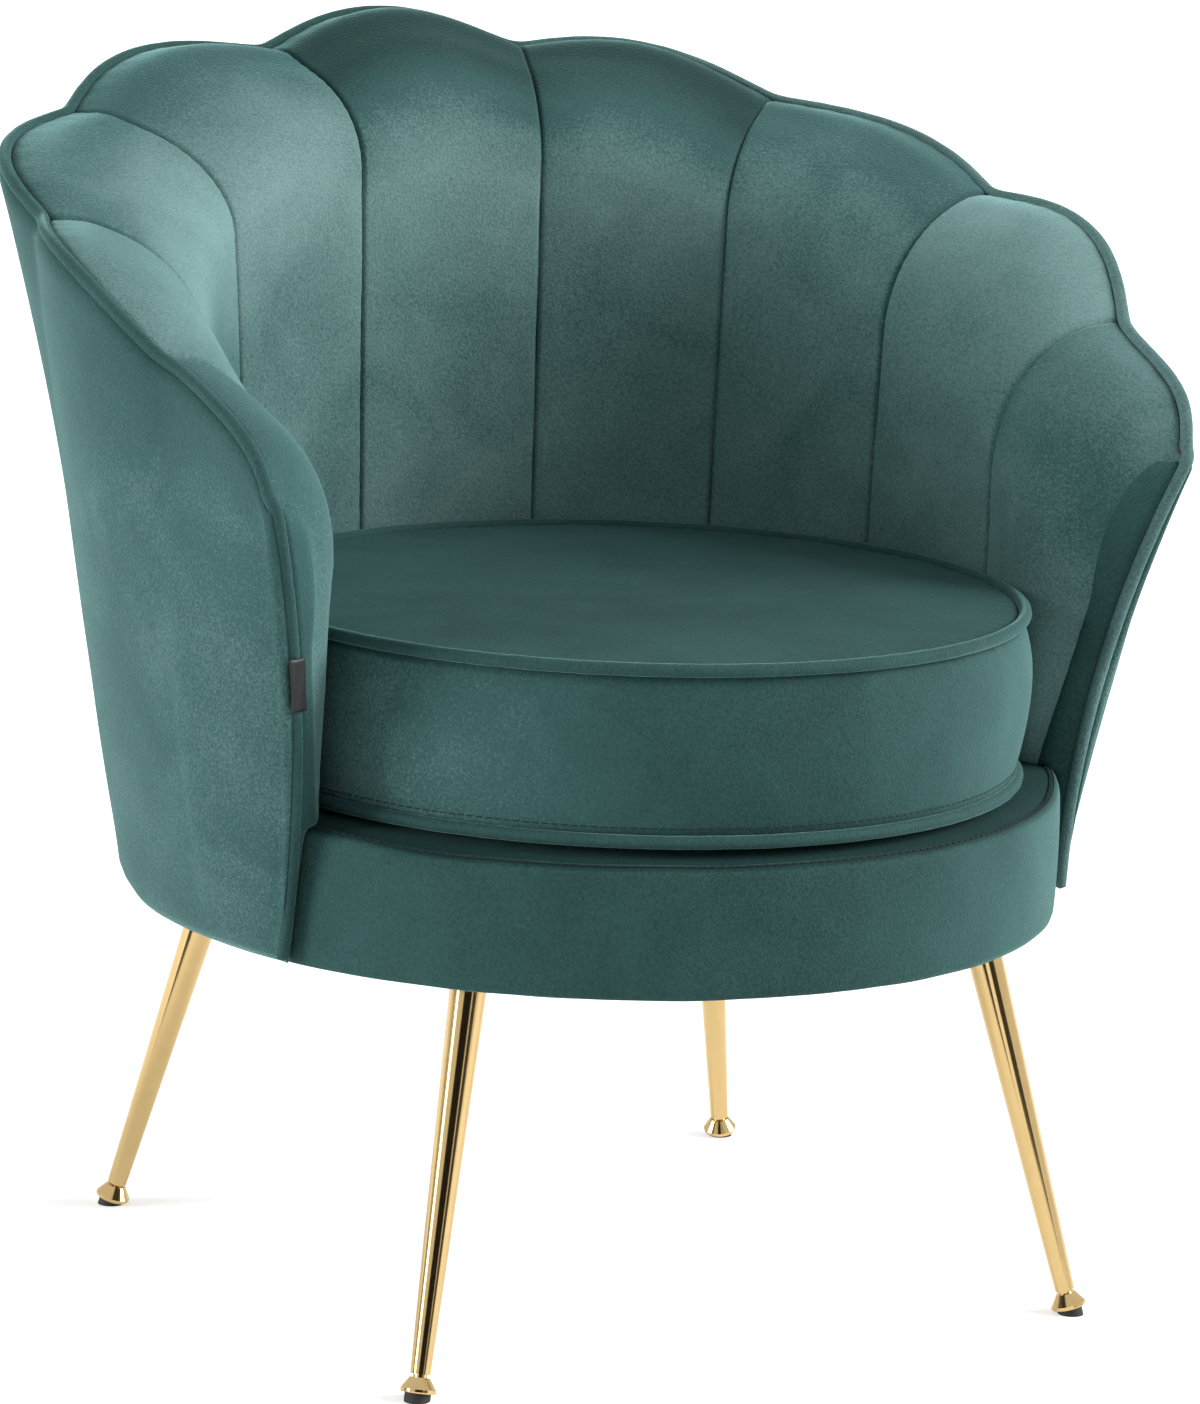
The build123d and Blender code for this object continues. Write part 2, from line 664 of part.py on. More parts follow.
with BuildPart() as shell_nuts:
    for angle in SHELL_BOLT_ANGLES:
        for side in (1, -1):
            if angle or side > 0:
                out = radial(side * angle)
                face = HOOP_RADIUS - HOOP_WALL - SEAT_GAP
                spot = Plane(origin=out * face + Vector(0, 0, SHELL_BOLT_HEIGHT), z_dir=out * -1)
                with BuildSketch(spot):
                    RegularPolygon(SHELL_NUT[0], 6)
                    Circle(BOLT_RADIUS + PRESS_GAP, mode=Mode.SUBTRACT)
                extrude(amount=SHELL_NUT[1])
save(shell_nuts.part, "shell_nuts")

# Loose seat cushion, turned about its own upright axis
CUSHION_AXIS = Axis((0, CUSHION_Y, 0), (0, 0, 1))
CUSHION_PLANE = Plane(origin=(0, CUSHION_Y, 0), x_dir=(1, 0, 0), z_dir=(0, -1, 0))
CORD_AT = CUSHION_RADIUS - CUSHION_PIPING
CORD_LOW = CUSHION_BOTTOM + CUSHION_PIPING + 0.1
PANEL_RADIUS = CORD_AT - CUSHION_PIPING - SEAT_GAP
BOX_LOW = CORD_LOW + CUSHION_PIPING + SEAT_GAP
BOX_HIGH = CUSHION_SEAM - CUSHION_PIPING - SEAT_GAP
BOX_MID = (BOX_LOW + BOX_HIGH) / 2
DRAW_IN = 2.5
BOX_BULGE = CORD_AT + 0.5
CROWN_TOP = CUSHION_SEAM + CUSHION_CROWN
CROWN_FLAT = 8.0


def crown_arc(inset):
    """Half of the domed top, from its edge to the middle, inset from the velvet's outer side."""
    ball = (PANEL_RADIUS**2 + CUSHION_CROWN**2) / (2 * CUSHION_CROWN)
    centre = CROWN_TOP - ball
    spread = asin(PANEL_RADIUS / ball)
    flat = asin(CROWN_FLAT / ball)
    return [(ball * sin(a), centre + ball * cos(a) - inset) for a in (spread, spread / 2, flat)]


def side_arc(inset):
    edge = BOX_BULGE - DRAW_IN - inset
    return (edge, BOX_LOW), (BOX_BULGE - inset, BOX_MID), (edge, BOX_HIGH)


with BuildPart() as cushion_foam:
    with BuildSketch(CUSHION_PLANE):
        with BuildLine():
            inset = PANEL + SEAT_GAP
            side = side_arc(inset)
            crown = crown_arc(inset)
            low = CUSHION_BOTTOM + inset
            Polyline((0, low), (PANEL_RADIUS - 2, low), side[0])
            ThreePointArc(*side)
            Line(side[2], crown[0])
            ThreePointArc(*crown)
            Polyline(crown[2], (0, crown[2][1]), (0, low))
        make_face()
    revolve(axis=CUSHION_AXIS)
save(cushion_foam.part, "cushion_foam")

with BuildPart() as cushion_top:
    with BuildSketch(CUSHION_PLANE):
        with BuildLine():
            outer = crown_arc(0)
            inner = crown_arc(PANEL)
            ThreePointArc(*outer)
            Polyline(outer[2], (0, outer[2][1]), (0, inner[2][1]), inner[2])
            ThreePointArc(*inner[::-1])
            Line(inner[0], outer[0])
        make_face()
    revolve(axis=CUSHION_AXIS)
save(cushion_top.part, "cushion_top")

with BuildPart() as cushion_boxing:
    with BuildSketch(CUSHION_PLANE):
        with BuildLine():
            outer = side_arc(0)
            inner = side_arc(PANEL)
            ThreePointArc(*outer)
            Line(outer[2], inner[2])
            ThreePointArc(*inner[::-1])
            Line(inner[0], outer[0])
        make_face()
    revolve(axis=CUSHION_AXIS)
save(cushion_boxing.part, "cushion_boxing")

with BuildPart() as cushion_bottom:
    with BuildSketch(Plane.XY.offset(CUSHION_BOTTOM)):
        with Locations((0, CUSHION_Y)):
            Circle(PANEL_RADIUS)
    extrude(amount=PANEL)
save(cushion_bottom.part, "cushion_bottom")

with BuildPart() as cushion_piping_top:
    with BuildSketch(CUSHION_PLANE):
        with Locations((CORD_AT, CUSHION_SEAM)):
            Circle(CUSHION_PIPING)
    revolve(axis=CUSHION_AXIS)
save(cushion_piping_top.part, "cushion_piping_top")

with BuildPart() as cushion_piping_bottom:
    with BuildSketch(CUSHION_PLANE):
        with Locations((CORD_AT, CORD_LOW)):
            Circle(CUSHION_PIPING)
    revolve(axis=CUSHION_AXIS)
save(cushion_piping_bottom.part, "cushion_piping_bottom")

# Zip round the rear of the cushion, and its slider at one end
ZIP_FROM = BOX_BULGE + SEAT_GAP
with BuildPart() as cushion_zip:
    out = radial(ZIP_ARC / 2)
    plane = Plane(origin=(0, CUSHION_Y, 0), x_dir=out, z_dir=out.cross(Vector(0, 0, 1)))
    with BuildSketch(plane):
        with Locations((ZIP_FROM + ZIP / 2, BOX_MID)):
            Rectangle(ZIP, ZIP_HEIGHT)
    revolve(axis=CUSHION_AXIS, revolution_arc=ZIP_ARC)
save(cushion_zip.part, "cushion_zip")

SLIDER = (9.0, 10.0, 2.0)
SLIDER_AT = ZIP_ARC / 2 - 2.0
with BuildPart() as zip_slider:
    out = radial(SLIDER_AT)
    reach = ZIP_FROM + ZIP + SEAT_GAP
    with BuildSketch(Plane(origin=out * reach + Vector(0, CUSHION_Y, BOX_MID), x_dir=(0, 0, 1), z_dir=out)):
        Rectangle(SLIDER[1], SLIDER[0])
    extrude(amount=SLIDER[2])
save(zip_slider.part, "zip_slider")

# Legs: a tapered tube welded under a bolted plate
TUBE_LENGTH = PLATE_UNDER * sqrt(1 + LEG_DX**2 + LEG_DY**2) + 2 * LEG_TOP_RADIUS - TIP_AT
TIP_BORE = 26.0
for name, (sx, sy) in LEG_NAMES.items():
    foot, up = leg_axis(sx, sy)
    tip = Plane(origin=foot + up * TIP_AT, z_dir=up)
    low = (Align.CENTER, Align.CENTER, Align.MIN)
    with BuildPart() as tube:
        with Locations(tip):
            Cone(LEG_TIP_RADIUS, LEG_TOP_RADIUS, TUBE_LENGTH, align=low)
            Cylinder(LEG_TIP_RADIUS - LEG_WALL, TIP_BORE, align=low, mode=Mode.SUBTRACT)
        with Locations(tip.offset(TIP_BORE)):
            Cone(
                LEG_TIP_RADIUS - LEG_WALL,
                LEG_TOP_RADIUS - LEG_WALL,
                TUBE_LENGTH - TIP_BORE,
                align=low,
                mode=Mode.SUBTRACT,
            )
        split(bisect_by=Plane.XY.offset(PLATE_UNDER), keep=Keep.BOTTOM)
    with BuildPart() as leg:
        add(tube.part)
        with BuildSketch(Plane.XY.offset(PLATE_UNDER)):
            with Locations(plate_location(sx, sy, 0)):
                RectangleRounded(PLATE_SIDE, PLATE_SIDE, 6)
                with GridLocations(BOLT_SPACING, BOLT_SPACING, 2, 2):
                    Circle(BOLT_RADIUS + 0.2, mode=Mode.SUBTRACT)
        extrude(amount=PLATE)
    save(leg.part, f"leg_{name}")

    # Levelling glide: metal collar with its stud, and a rubber pad cut flat for the floor
    across = up.cross(Vector(0, 0, 1)).normalized()
    turned = Plane(origin=foot, x_dir=across, z_dir=across.cross(up))
    recess = PAD_SHOWS + PAD_SEAT
    with BuildPart() as collar:
        with BuildSketch(turned):
            with BuildLine():
                Polyline(
                    (0, recess),
                    (PAD_RADIUS + RUNNING_GAP, recess),
                    (PAD_RADIUS + RUNNING_GAP, PAD_SHOWS),
                    (COLLAR_RADIUS - 0.6, PAD_SHOWS),
                    (COLLAR_RADIUS, PAD_SHOWS + 0.8),
                    (COLLAR_RADIUS, PAD_SHOWS + 2.4),
                    (LEG_TIP_RADIUS, COLLAR_TOP),
                    (NECK_RADIUS, COLLAR_TOP),
                    (NECK_RADIUS, TIP_AT),
                    (STUD_RADIUS, TIP_AT),
                    (STUD_RADIUS, STUD_END),
                    (0, STUD_END),
                    close=True,
                )
            make_face()
        revolve(axis=Axis(foot, up))
    save(collar.part, f"glide_collar_{name}")
    with BuildPart() as pad:
        with Locations(Plane(origin=foot - up * PAD_RADIUS, z_dir=up)):
            Cylinder(PAD_RADIUS, PAD_RADIUS + recess - 0.05, align=low)
        split(bisect_by=Plane.XY, keep=Keep.TOP)
    save(pad.part, f"glide_pad_{name}")

# Threaded inserts in the leg tips
with BuildPart() as leg_inserts:
    for sx, sy in LEG_NAMES.values():
        foot, up = leg_axis(sx, sy)
        with BuildSketch(Plane(origin=foot + up * (TIP_AT + 0.05), z_dir=up)):
            Circle(LEG_TIP_RADIUS - LEG_WALL - PRESS_GAP)
            Circle(STUD_RADIUS + RUNNING_GAP, mode=Mode.SUBTRACT)
        extrude(amount=STUD_END - TIP_AT)
save(leg_inserts.part, "leg_inserts")

# Bolts through the leg plates, and tee nuts in the floor board
with BuildPart() as leg_bolts:
    with BuildSketch(Plane.XY.offset(PLATE_UNDER - BOLT_HEAD[1])):
        with Locations(LEG_SPOTS):
            with GridLocations(BOLT_SPACING, BOLT_SPACING, 2, 2):
                RegularPolygon(BOLT_HEAD[0], 6)
    extrude(amount=BOLT_HEAD[1])
    with BuildSketch(Plane.XY.offset(PLATE_UNDER)):
        with Locations(LEG_SPOTS):
            with GridLocations(BOLT_SPACING, BOLT_SPACING, 2, 2):
                Circle(BOLT_RADIUS)
    extrude(amount=BOLT_LENGTH)
save(leg_bolts.part, "leg_bolts")

with BuildPart() as tee_nuts:
    with BuildSketch(Plane.XY.offset(FLOOR_TOP - TEE_BARREL[1])):
        with Locations(LEG_SPOTS):
            with GridLocations(BOLT_SPACING, BOLT_SPACING, 2, 2):
                Circle(TEE_BARREL[0])
                Circle(BOLT_RADIUS + PRESS_GAP, mode=Mode.SUBTRACT)
    extrude(amount=TEE_BARREL[1])
    with BuildSketch(Plane.XY.offset(FLOOR_TOP)):
        with Locations(LEG_SPOTS):
            with GridLocations(BOLT_SPACING, BOLT_SPACING, 2, 2):
                Circle(TEE_FLANGE[0])
                Circle(BOLT_RADIUS + PRESS_GAP, mode=Mode.SUBTRACT)
    extrude(amount=TEE_FLANGE[1])
save(tee_nuts.part, "tee_nuts")
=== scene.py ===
import json
from collections import namedtuple
from math import cos, degrees, exp, pi, radians, sin, sqrt, tan

import bmesh
import bpy
import numpy as np
from bpy.props import FloatProperty, FloatVectorProperty, PointerProperty
from mathutils import Matrix, Vector, noise


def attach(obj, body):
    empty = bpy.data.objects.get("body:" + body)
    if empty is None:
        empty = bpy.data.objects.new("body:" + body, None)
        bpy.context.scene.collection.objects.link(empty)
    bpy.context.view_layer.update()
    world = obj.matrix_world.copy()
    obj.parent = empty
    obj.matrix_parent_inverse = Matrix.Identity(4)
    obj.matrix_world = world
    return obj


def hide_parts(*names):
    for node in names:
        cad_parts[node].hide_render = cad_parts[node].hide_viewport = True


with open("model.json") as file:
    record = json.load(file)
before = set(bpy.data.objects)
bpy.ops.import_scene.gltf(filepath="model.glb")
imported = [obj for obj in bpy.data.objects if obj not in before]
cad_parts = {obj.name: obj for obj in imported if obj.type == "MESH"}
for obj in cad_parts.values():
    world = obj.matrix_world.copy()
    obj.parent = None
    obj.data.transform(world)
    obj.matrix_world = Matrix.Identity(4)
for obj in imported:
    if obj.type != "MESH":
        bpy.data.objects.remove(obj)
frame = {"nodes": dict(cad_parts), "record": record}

bl_info = {
    "name": "Velvet tub armchair",
    "version": (1, 0, 0),
    "blender": (4, 5, 0),
    "location": "View3D > Sidebar > Armchair",
    "description": "Builds the soft pieces, finishes and stage of a scalloped velvet armchair",
    "category": "Object",
}

# ---------------------------------------------------------------------------
# Form of the chair in millimetres: radii about the upright axis, heights above the floor,
# angles from the middle of the back towards the sitter's left
# ---------------------------------------------------------------------------

Section = namedtuple("Section", "angle lean rim waist foot shoulder")
MM = 0.001

# Sections at the four seams of a half, from the middle of the back to the arm
SEAM = {
    "angle": (16.2, 45.2, 72.3, 100.0),
    "radius": (348.0, 379.0, 370.0, 355.5),
    "height": (768.0, 736.0, 687.0, 624.0),
    "waist": (322.0, 337.0, 347.0, 349.0),
    "shoulder_radius": (248.0, 266.0, 268.0, 270.0),
    "shoulder_height": (690.0, 655.0, 590.0, 520.0),
}
# How far a channel's crown stands past the line between its seams
CROWN_RADIUS = (7.0, 16.0, 22.0, 12.5)
CROWN_HEIGHT = (24.0, 16.0, 8.0, 18.0)
CROWN_SHOULDER = 10.0
RIM_FULLNESS = 1.3
# Sections of the front channel, from its seam to the front of the arm
ARM = {
    "angle": (100.0, 104.5, 109.0, 111.5, 112.8),
    "radius": (355.5, 356.0, 366.0, 370.0, 371.0),
    "height": (624.0, 609.5, 592.0, 573.0, 552.0),
    "waist": (349.0, 352.0, 354.0, 354.0, 354.0),
    "inset": (9.0, 3.5, 4.5, 10.0, 19.0),
    "shoulder_radius": (270.0, 268.0, 276.0, 295.0, 315.0),
    "shoulder_height": (520.0, 511.0, 498.0, 478.0, 455.0),
}
ARM_CHANNEL = 4
ARM_TOP = ARM["height"][-1]
# The arm's front leans forward by this angle, from this height up, and follows an arc through three points
ARM_LEAN = 7.5
LEAN_FROM = 290.0
ARM_FRONT_LINE = ((309.0, 254.0), (330.0, 430.0), (371.0, ARM_TOP))
FRONT_AHEAD = 4.5
SHELL_BOTTOM = (310.0, 254.0)
WAIST_HEIGHT = 480.0
# Layers of the shell: plywood, wadding and cover, with a gap at each join
PLY = 8.0
PLY_FOOT = (296.7, 334.0)
PLY_TOP_INSET = 8.5
WADDING = 4.0
COVER = 1.8
PIPING = 4.2
SEAM_GAP = 0.8
DECK = 340.0
CHANNEL_FOOT = DECK + 0.3
BAND_RADIUS = 300.0
BAND_TURN = 8.7
BAND_LOW = 256.0
BAND_TURN_ROWS = 4
# Room between the band and the front of an arm
BESIDE_BAND = 1.2
# How far the deck's front seam lies below its middle, between the arms
DECK_DIP = 4.0
DECK_THICK = 1.5
# Lining under the base: radius, height, sag, thickness, and where the legs' plates hold it up
LINING_RADIUS = 287.6
LINING_HEIGHT = 255.3
LINING_SAG = 1.6
LINING_THICK = 0.4
LEG_PLATE = (184.3, 177.6)
CUSHION_Y = -33.0
CUSHION_RADIUS = 258.0
CUSHION_LOW = 340.3
CUSHION_SEAM = 454.0
# The free front of the cushion bulges, its lower piping stands a little off the deck, and below this height it is flat
CUSHION_BULGE = 7.0
CUSHION_LIFT = 3.0
CUSHION_FLAT = 352.0
# Depth of the channels, and their distance from the cushion
CHANNEL_DEPTH = 7.0
CUSHION_GAP = 2.0
# Zip: place on the cushion, half its angle, half its tape's width, and the spacing of its teeth
ZIP_RADIUS = 254.6
ZIP_HEIGHT = 399.3
ZIP_SPREAD = 45.0
ZIP_TAPE = 6.0
TOOTH_PITCH = 1.9
# Ribbon tab: lower edge, start inside the piping's line, width and height, half its thickness
TAB_LOW = 420.0
TAB_INSET = 4.5
TAB_SIZE = (13.0, 34.0)
TAB_HALF = 0.35
# Share of a channel's swell that is left at its seam, and the depth and half width of the stitched crease there
SEAM_FILL = 0.5
CREASE_DEPTH = 1.6
CREASE_WIDTH = 1.5
# Puckers at a seam, under the piping and at the arm's front: height, reach, and length of a wave over 2 pi
SEAM_PUCKER = (0.25, 7.0, 1.6)
RIM_PUCKER = (0.35, 13.0, 2.3)
FRONT_PUCKER = (0.8, 16.0, 3.1)
# How far a channel rolls up above the edge line before it meets the piping: at the seams and in mid channel
SEAM_ROLL = (3.5, 2.5, 1.2, 0.4)
CROWN_ROLL = (3.0, 3.0, 1.6, 0.8)
# The chair's axis lies behind the middle of its bounding box, which is the frame's origin
AXIS_Y = -30.9
CHANNEL_NAMES = ("back", "back_side", "wing", "arm_rear", "arm_front")
# Painted light and shade on each side: at a channel's foot, then at the edge, painted darker, and in the painted lit
# band of each channel, from the middle one, which is built once with the left side, to the arm's
FACE_PAINTED_LIGHT = {
    "left": (0.86, ((-0.30, 0.92), (-0.20, 0.80), (0.44, 0.66), (0.92, 0.66), (0.70, 0.52))),
    "right": (0.70, ((-0.30, 0.92), (0.48, 0.95), (0.56, 1.0), (0.72, 0.92), (0.48, 0.58))),
}
# The same painted light and shade on the front of an arm, between two heights
NOSE_HEIGHTS = (420.0, 548.0)
NOSE_PAINTED_LIGHT = {"left": (0.12, 0.5), "right": (0.30, 0.46)}

# Velvet: bloom of standing pile and of pile pressed flat, and the darker tone of the piping
SHEEN = 0.66
FLAT_SHEEN = 0.09
PIPING_SHADE = 0.92
# Sizes in metres of the brushed patches and the tufts, and the share of each in the tone.
# Real tufts are about 0.5 mm: they are drawn coarser so that they show
PILE_PATCH, PATCH_SHARE = 0.07, 0.34
PILE_TUFT, TUFT_SHARE = 0.0017, 0.62

# The cushion's cloth simulation, and its stitches in metres
SWELL_FRAMES = 20
SWELL_PRESSURE = 4.0
STITCH_STEP = 0.0005
STITCH_SPACING = 1.45
THREAD_RADIUS = 0.00045
# How far the end of a cord or thread domes out, as a share of its radius
END_DOME = 0.6

# Camera of the photograph: place in metres, right, up and view directions, lens in millimetres
CAMERA_AT = (-1.85717, -3.36127, 1.14744)
CAMERA_RIGHT = (0.87658, -0.47979, 0.03758)
CAMERA_UP = (0.06296, 0.19174, 0.97942)
CAMERA_VIEW = (0.47712, 0.85618, -0.19829)
CAMERA_LENS = 153.2
CAMERA_SENSOR = 36.0

# Stage in metres: soft suns as name, place, share of the key strength and angle across, and the point they face;
# the floor's half size and its glow where it is looked at; dark cards by their two ends, and their heights
KEY_LIGHTS = (("key_right", (3.0, -1.6, 2.2), 1.4, 35.0), ("key_left", (-3.4, 0.7, 1.05), 1.0, 30.0))
KEY_COLOUR = (1.0, 0.985, 0.965)
LIT_POINT = (0, 0, 0.4)
FLOOR_REACH = 40.0
FLOOR_LIFT = 0.42
FLAGS = ((-0.62, -0.60, -0.19, -0.77), (-0.06, -1.22, 0.88, -2.11), (-1.05, 0.25, -0.95, -0.15))
FLAG_LOW, FLAG_HIGH = 0.002, 0.7


# ---------------------------------------------------------------------------
# Sizes and colours that a user may change
# ---------------------------------------------------------------------------


def srgb(code):
    """Linear colour from a hex code."""
    values = [int(code[i:i + 2], 16) / 255 for i in (1, 3, 5)]
    return tuple(v / 12.92 if v <= 0.04045 else ((v + 0.055) / 1.055) ** 2.4 for v in values)


class ArmchairShell(bpy.types.PropertyGroup):
    fullness: FloatProperty(
        name="Channel fullness",
        description="Exponent of a channel's swell between its seams: lower is plumper",
        default=0.5, min=0.4, max=1.0)
    piping: FloatProperty(
        name="Piping radius", description="Radius of the piping round the shell's edge",
        default=0.0042, min=0.002, max=0.006, unit="LENGTH", subtype="DISTANCE")
    ripple: FloatProperty(
        name="Ripple", description="Height of the soft unevenness in the stretched velvet",
        default=0.0009, min=0.0, max=0.003, unit="LENGTH", subtype="DISTANCE")


class ArmchairCushion(bpy.types.PropertyGroup):
    crown: FloatProperty(
        name="Crown", description="Rise of the cushion's top above its piping",
        default=0.015, min=0.0, max=0.02, unit="LENGTH", subtype="DISTANCE")
    piping: FloatProperty(
        name="Piping radius", description="Radius of the cushion's piping",
        default=0.0042, min=0.002, max=0.005, unit="LENGTH", subtype="DISTANCE")
    stitch: FloatProperty(
        name="Stitch length", description="Length of one visible stitch",
        default=0.0042, min=0.002, max=0.008, unit="LENGTH", subtype="DISTANCE")


class ArmchairFinish(bpy.types.PropertyGroup):
    # The velvet in painted shade, in its plain colour and in painted light; the painted light and shade on each point
    # mixes them
    painted_shade_colour: FloatVectorProperty(
        name="Pile, shaded", description="Velvet where the pile leans away from the light",
        default=srgb("#133130"), size=3, min=0.0, max=1.0, subtype="COLOR")
    pile_mid: FloatVectorProperty(
        name="Pile, plain", description="Velvet seen across the pile",
        default=srgb("#325554"), size=3, min=0.0, max=1.0, subtype="COLOR")
    painted_light_colour: FloatVectorProperty(
        name="Pile, lit", description="Velvet where the pile leans to the light",
        default=srgb("#6f8f8e"), size=3, min=0.0, max=1.0, subtype="COLOR")
    brass: FloatVectorProperty(
        name="Brass", description="Colour of the plated legs",
        default=srgb("#c5aa77"), size=3, min=0.0, max=1.0, subtype="COLOR")


class ArmchairStage(bpy.types.PropertyGroup):
    floor: FloatVectorProperty(
        name="Floor", description="Colour of the studio floor",
        default=srgb("#f8f8f8"), size=3, min=0.0, max=1.0, subtype="COLOR")
    key: FloatProperty(
        name="Key light", description="Strength of the two side lights", default=3.0, min=0.0, max=10.0)
    fill: FloatProperty(
        name="Fill light", description="Strength of the light from all round", default=0.45, min=0.0, max=2.0)


# ---------------------------------------------------------------------------
# Sections of the shell
# ---------------------------------------------------------------------------


def cushion_edge(angle):
    """Distance from the chair's axis to the cushion's edge in one direction."""
    a = radians(angle)
    return CUSHION_Y * cos(a) + sqrt(CUSHION_RADIUS**2 - (CUSHION_Y * sin(a)) ** 2)


def clamped(value):
    return min(max(value, 0.0), 1.0)


def arm_value(name, share):
    """Smooth value of one row of the arm's sizes."""
    row = ARM[name]
    return float(np.polyval(np.polyfit(np.linspace(0, 1, len(row)), row, len(row) - 1), share))


def section(channel, s, fullness):
    """Section at share s across a channel: 0 is the middle of the back, 4 the front of an arm."""
    if channel == ARM_CHANNEL:
        angle = arm_value("angle", s)
        lift = SEAM_FILL * (1 - s) ** 2
        return Section(
            angle,
            ARM_LEAN * (angle - ARM["angle"][0]) / (ARM["angle"][-1] - ARM["angle"][0]),
            (arm_value("radius", s), arm_value("height", s)),
            arm_value("waist", s),
            cushion_edge(angle) + arm_value("inset", s) - CHANNEL_DEPTH * lift,
            (arm_value("shoulder_radius", s) - CROWN_SHOULDER * lift,
             arm_value("shoulder_height", s) + CROWN_SHOULDER * lift),
        )
    lower = channel - 1 if channel else 0
    start = SEAM["angle"][lower] if channel else -SEAM["angle"][0]
    mix = {name: row[lower] * (1 - s) + row[channel] * s for name, row in SEAM.items()}
    angle = start + (SEAM["angle"][channel] - start) * s
    arch = max(4 * s * (1 - s), 0.0)
    rim_swell = arch**RIM_FULLNESS
    swell = SEAM_FILL + (1 - SEAM_FILL) * arch**fullness
    return Section(
        angle,
        0.0,
        (mix["radius"] + CROWN_RADIUS[channel] * rim_swell, mix["height"] + CROWN_HEIGHT[channel] * rim_swell),
        mix["waist"],
        cushion_edge(angle) + CUSHION_GAP + CHANNEL_DEPTH * (1 - swell),
        (mix["shoulder_radius"] - CROWN_SHOULDER * swell, mix["shoulder_height"] + CROWN_SHOULDER * swell),
    )


def half_sections(fullness, steps):
    """Sections from the middle of the back up to the front of an arm, which is left out."""
    for channel in range(ARM_CHANNEL + 1):
        start, count = (0.0, steps) if channel else (0.5, steps // 2)
        for k in range(count):
            yield section(channel, start + (1 - start) * k / count, fullness)


def place(sec, radius, height, ahead=0.0):
    """Point of a section, in metres; ahead is forward of the section's plane."""
    a = radians(sec.angle)
    lean = radians(sec.lean)
    along = tan(lean) * (height - LEAN_FROM) + ahead * cos(lean)
    x = sin(a) * radius + cos(a) * along
    y = cos(a) * radius - sin(a) * along
    return np.array((x, y, height - ahead * sin(lean))) * MM


def around(radius, angle, height, centre=0.0):
    """Point in metres at an angle in radians about an upright axis that stands at y = centre."""
    return (radius * sin(angle) * MM, (centre + radius * cos(angle)) * MM, height * MM)


def arc(low, mid, high, z):
    """Radius at height z of the circle through three (radius, height) points."""
    (ax, ay), (bx, by), (cx, cy) = low, mid, high
    d = 2 * (ax * (by - cy) + bx * (cy - ay) + cx * (ay - by))
    if abs(d) < 1e-6:
        return ax + (cx - ax) * (z - ay) / (cy - ay)
    a2, b2, c2 = ax * ax + ay * ay, bx * bx + by * by, cx * cx + cy * cy
    ux = (a2 * (by - cy) + b2 * (cy - ay) + c2 * (ay - by)) / d
    uy = (a2 * (cx - bx) + b2 * (ax - cx) + c2 * (bx - ax)) / d
    reach = sqrt(max((ax - ux) ** 2 + (ay - uy) ** 2 - (z - uy) ** 2, 0.0))
    return ux - reach if ax < ux else ux + reach


def outer_radius(sec, z):
    """Outside of the shell's velvet."""
    top = sec.rim[0] + PIPING + SEAM_GAP + COVER
    return arc(SHELL_BOTTOM, (sec.waist, WAIST_HEIGHT), (top, sec.rim[1]), z)


def back_radius(sec, z):
    """Inner side of the plywood, which the channel padding rests on."""
    waist = sec.waist - COVER - WADDING - 2 * SEAM_GAP - PLY
    top = (sec.rim[0] - PLY_TOP_INSET, sec.rim[1] - PIPING - SEAM_GAP)
    return arc(PLY_FOOT, (waist, WAIST_HEIGHT), top, max(z, PLY_FOOT[1])) - SEAM_GAP


def front_line(z):
    """Radius of the piping down the front of an arm."""
    return arc(*ARM_FRONT_LINE, z)


# ---------------------------------------------------------------------------
# Mesh helpers
# ---------------------------------------------------------------------------


def grid_faces(rows, cols, closed=False):
    """Squares between the points of a grid; a closed one joins its last column to its first."""
    faces = []
    for i in range(rows - 1):
        for j in range(cols if closed else cols - 1):
            k = (j + 1) % cols
            faces.append((i * cols + j, i * cols + k, (i + 1) * cols + k, (i + 1) * cols + j))
    return faces


def closed_pad(front, back):
    """Closed mesh from two grids of points of the same shape."""
    rows, cols = front.shape[:2]
    count = rows * cols
    verts = np.concatenate([front.reshape(-1, 3), back.reshape(-1, 3)])
    faces = grid_faces(rows, cols)
    faces += [tuple(reversed([count + v for v in f])) for f in grid_faces(rows, cols)]
    rim = list(range(cols))
    rim += [i * cols + cols - 1 for i in range(1, rows)]
    rim += [(rows - 1) * cols + j for j in range(cols - 2, -1, -1)]
    rim += [i * cols for i in range(rows - 2, 0, -1)]
    for a, b in zip(rim, rim[1:] + rim[:1]):
        faces.append((b, a, count + a, count + b))
    return verts, faces


def round_plate(rings, ends):
    """Closed mesh from rings of points, with a middle point for its first and last ring."""
    count = len(rings[0])
    verts = [point for ring in rings for point in ring]
    faces = grid_faces(len(rings), count, closed=True)
    for first, middle in zip((0, (len(rings) - 1) * count), ends):
        faces += [(first + k, first + (k + 1) % count, len(verts)) for k in range(count)]
        verts.append(middle)
    return verts, faces


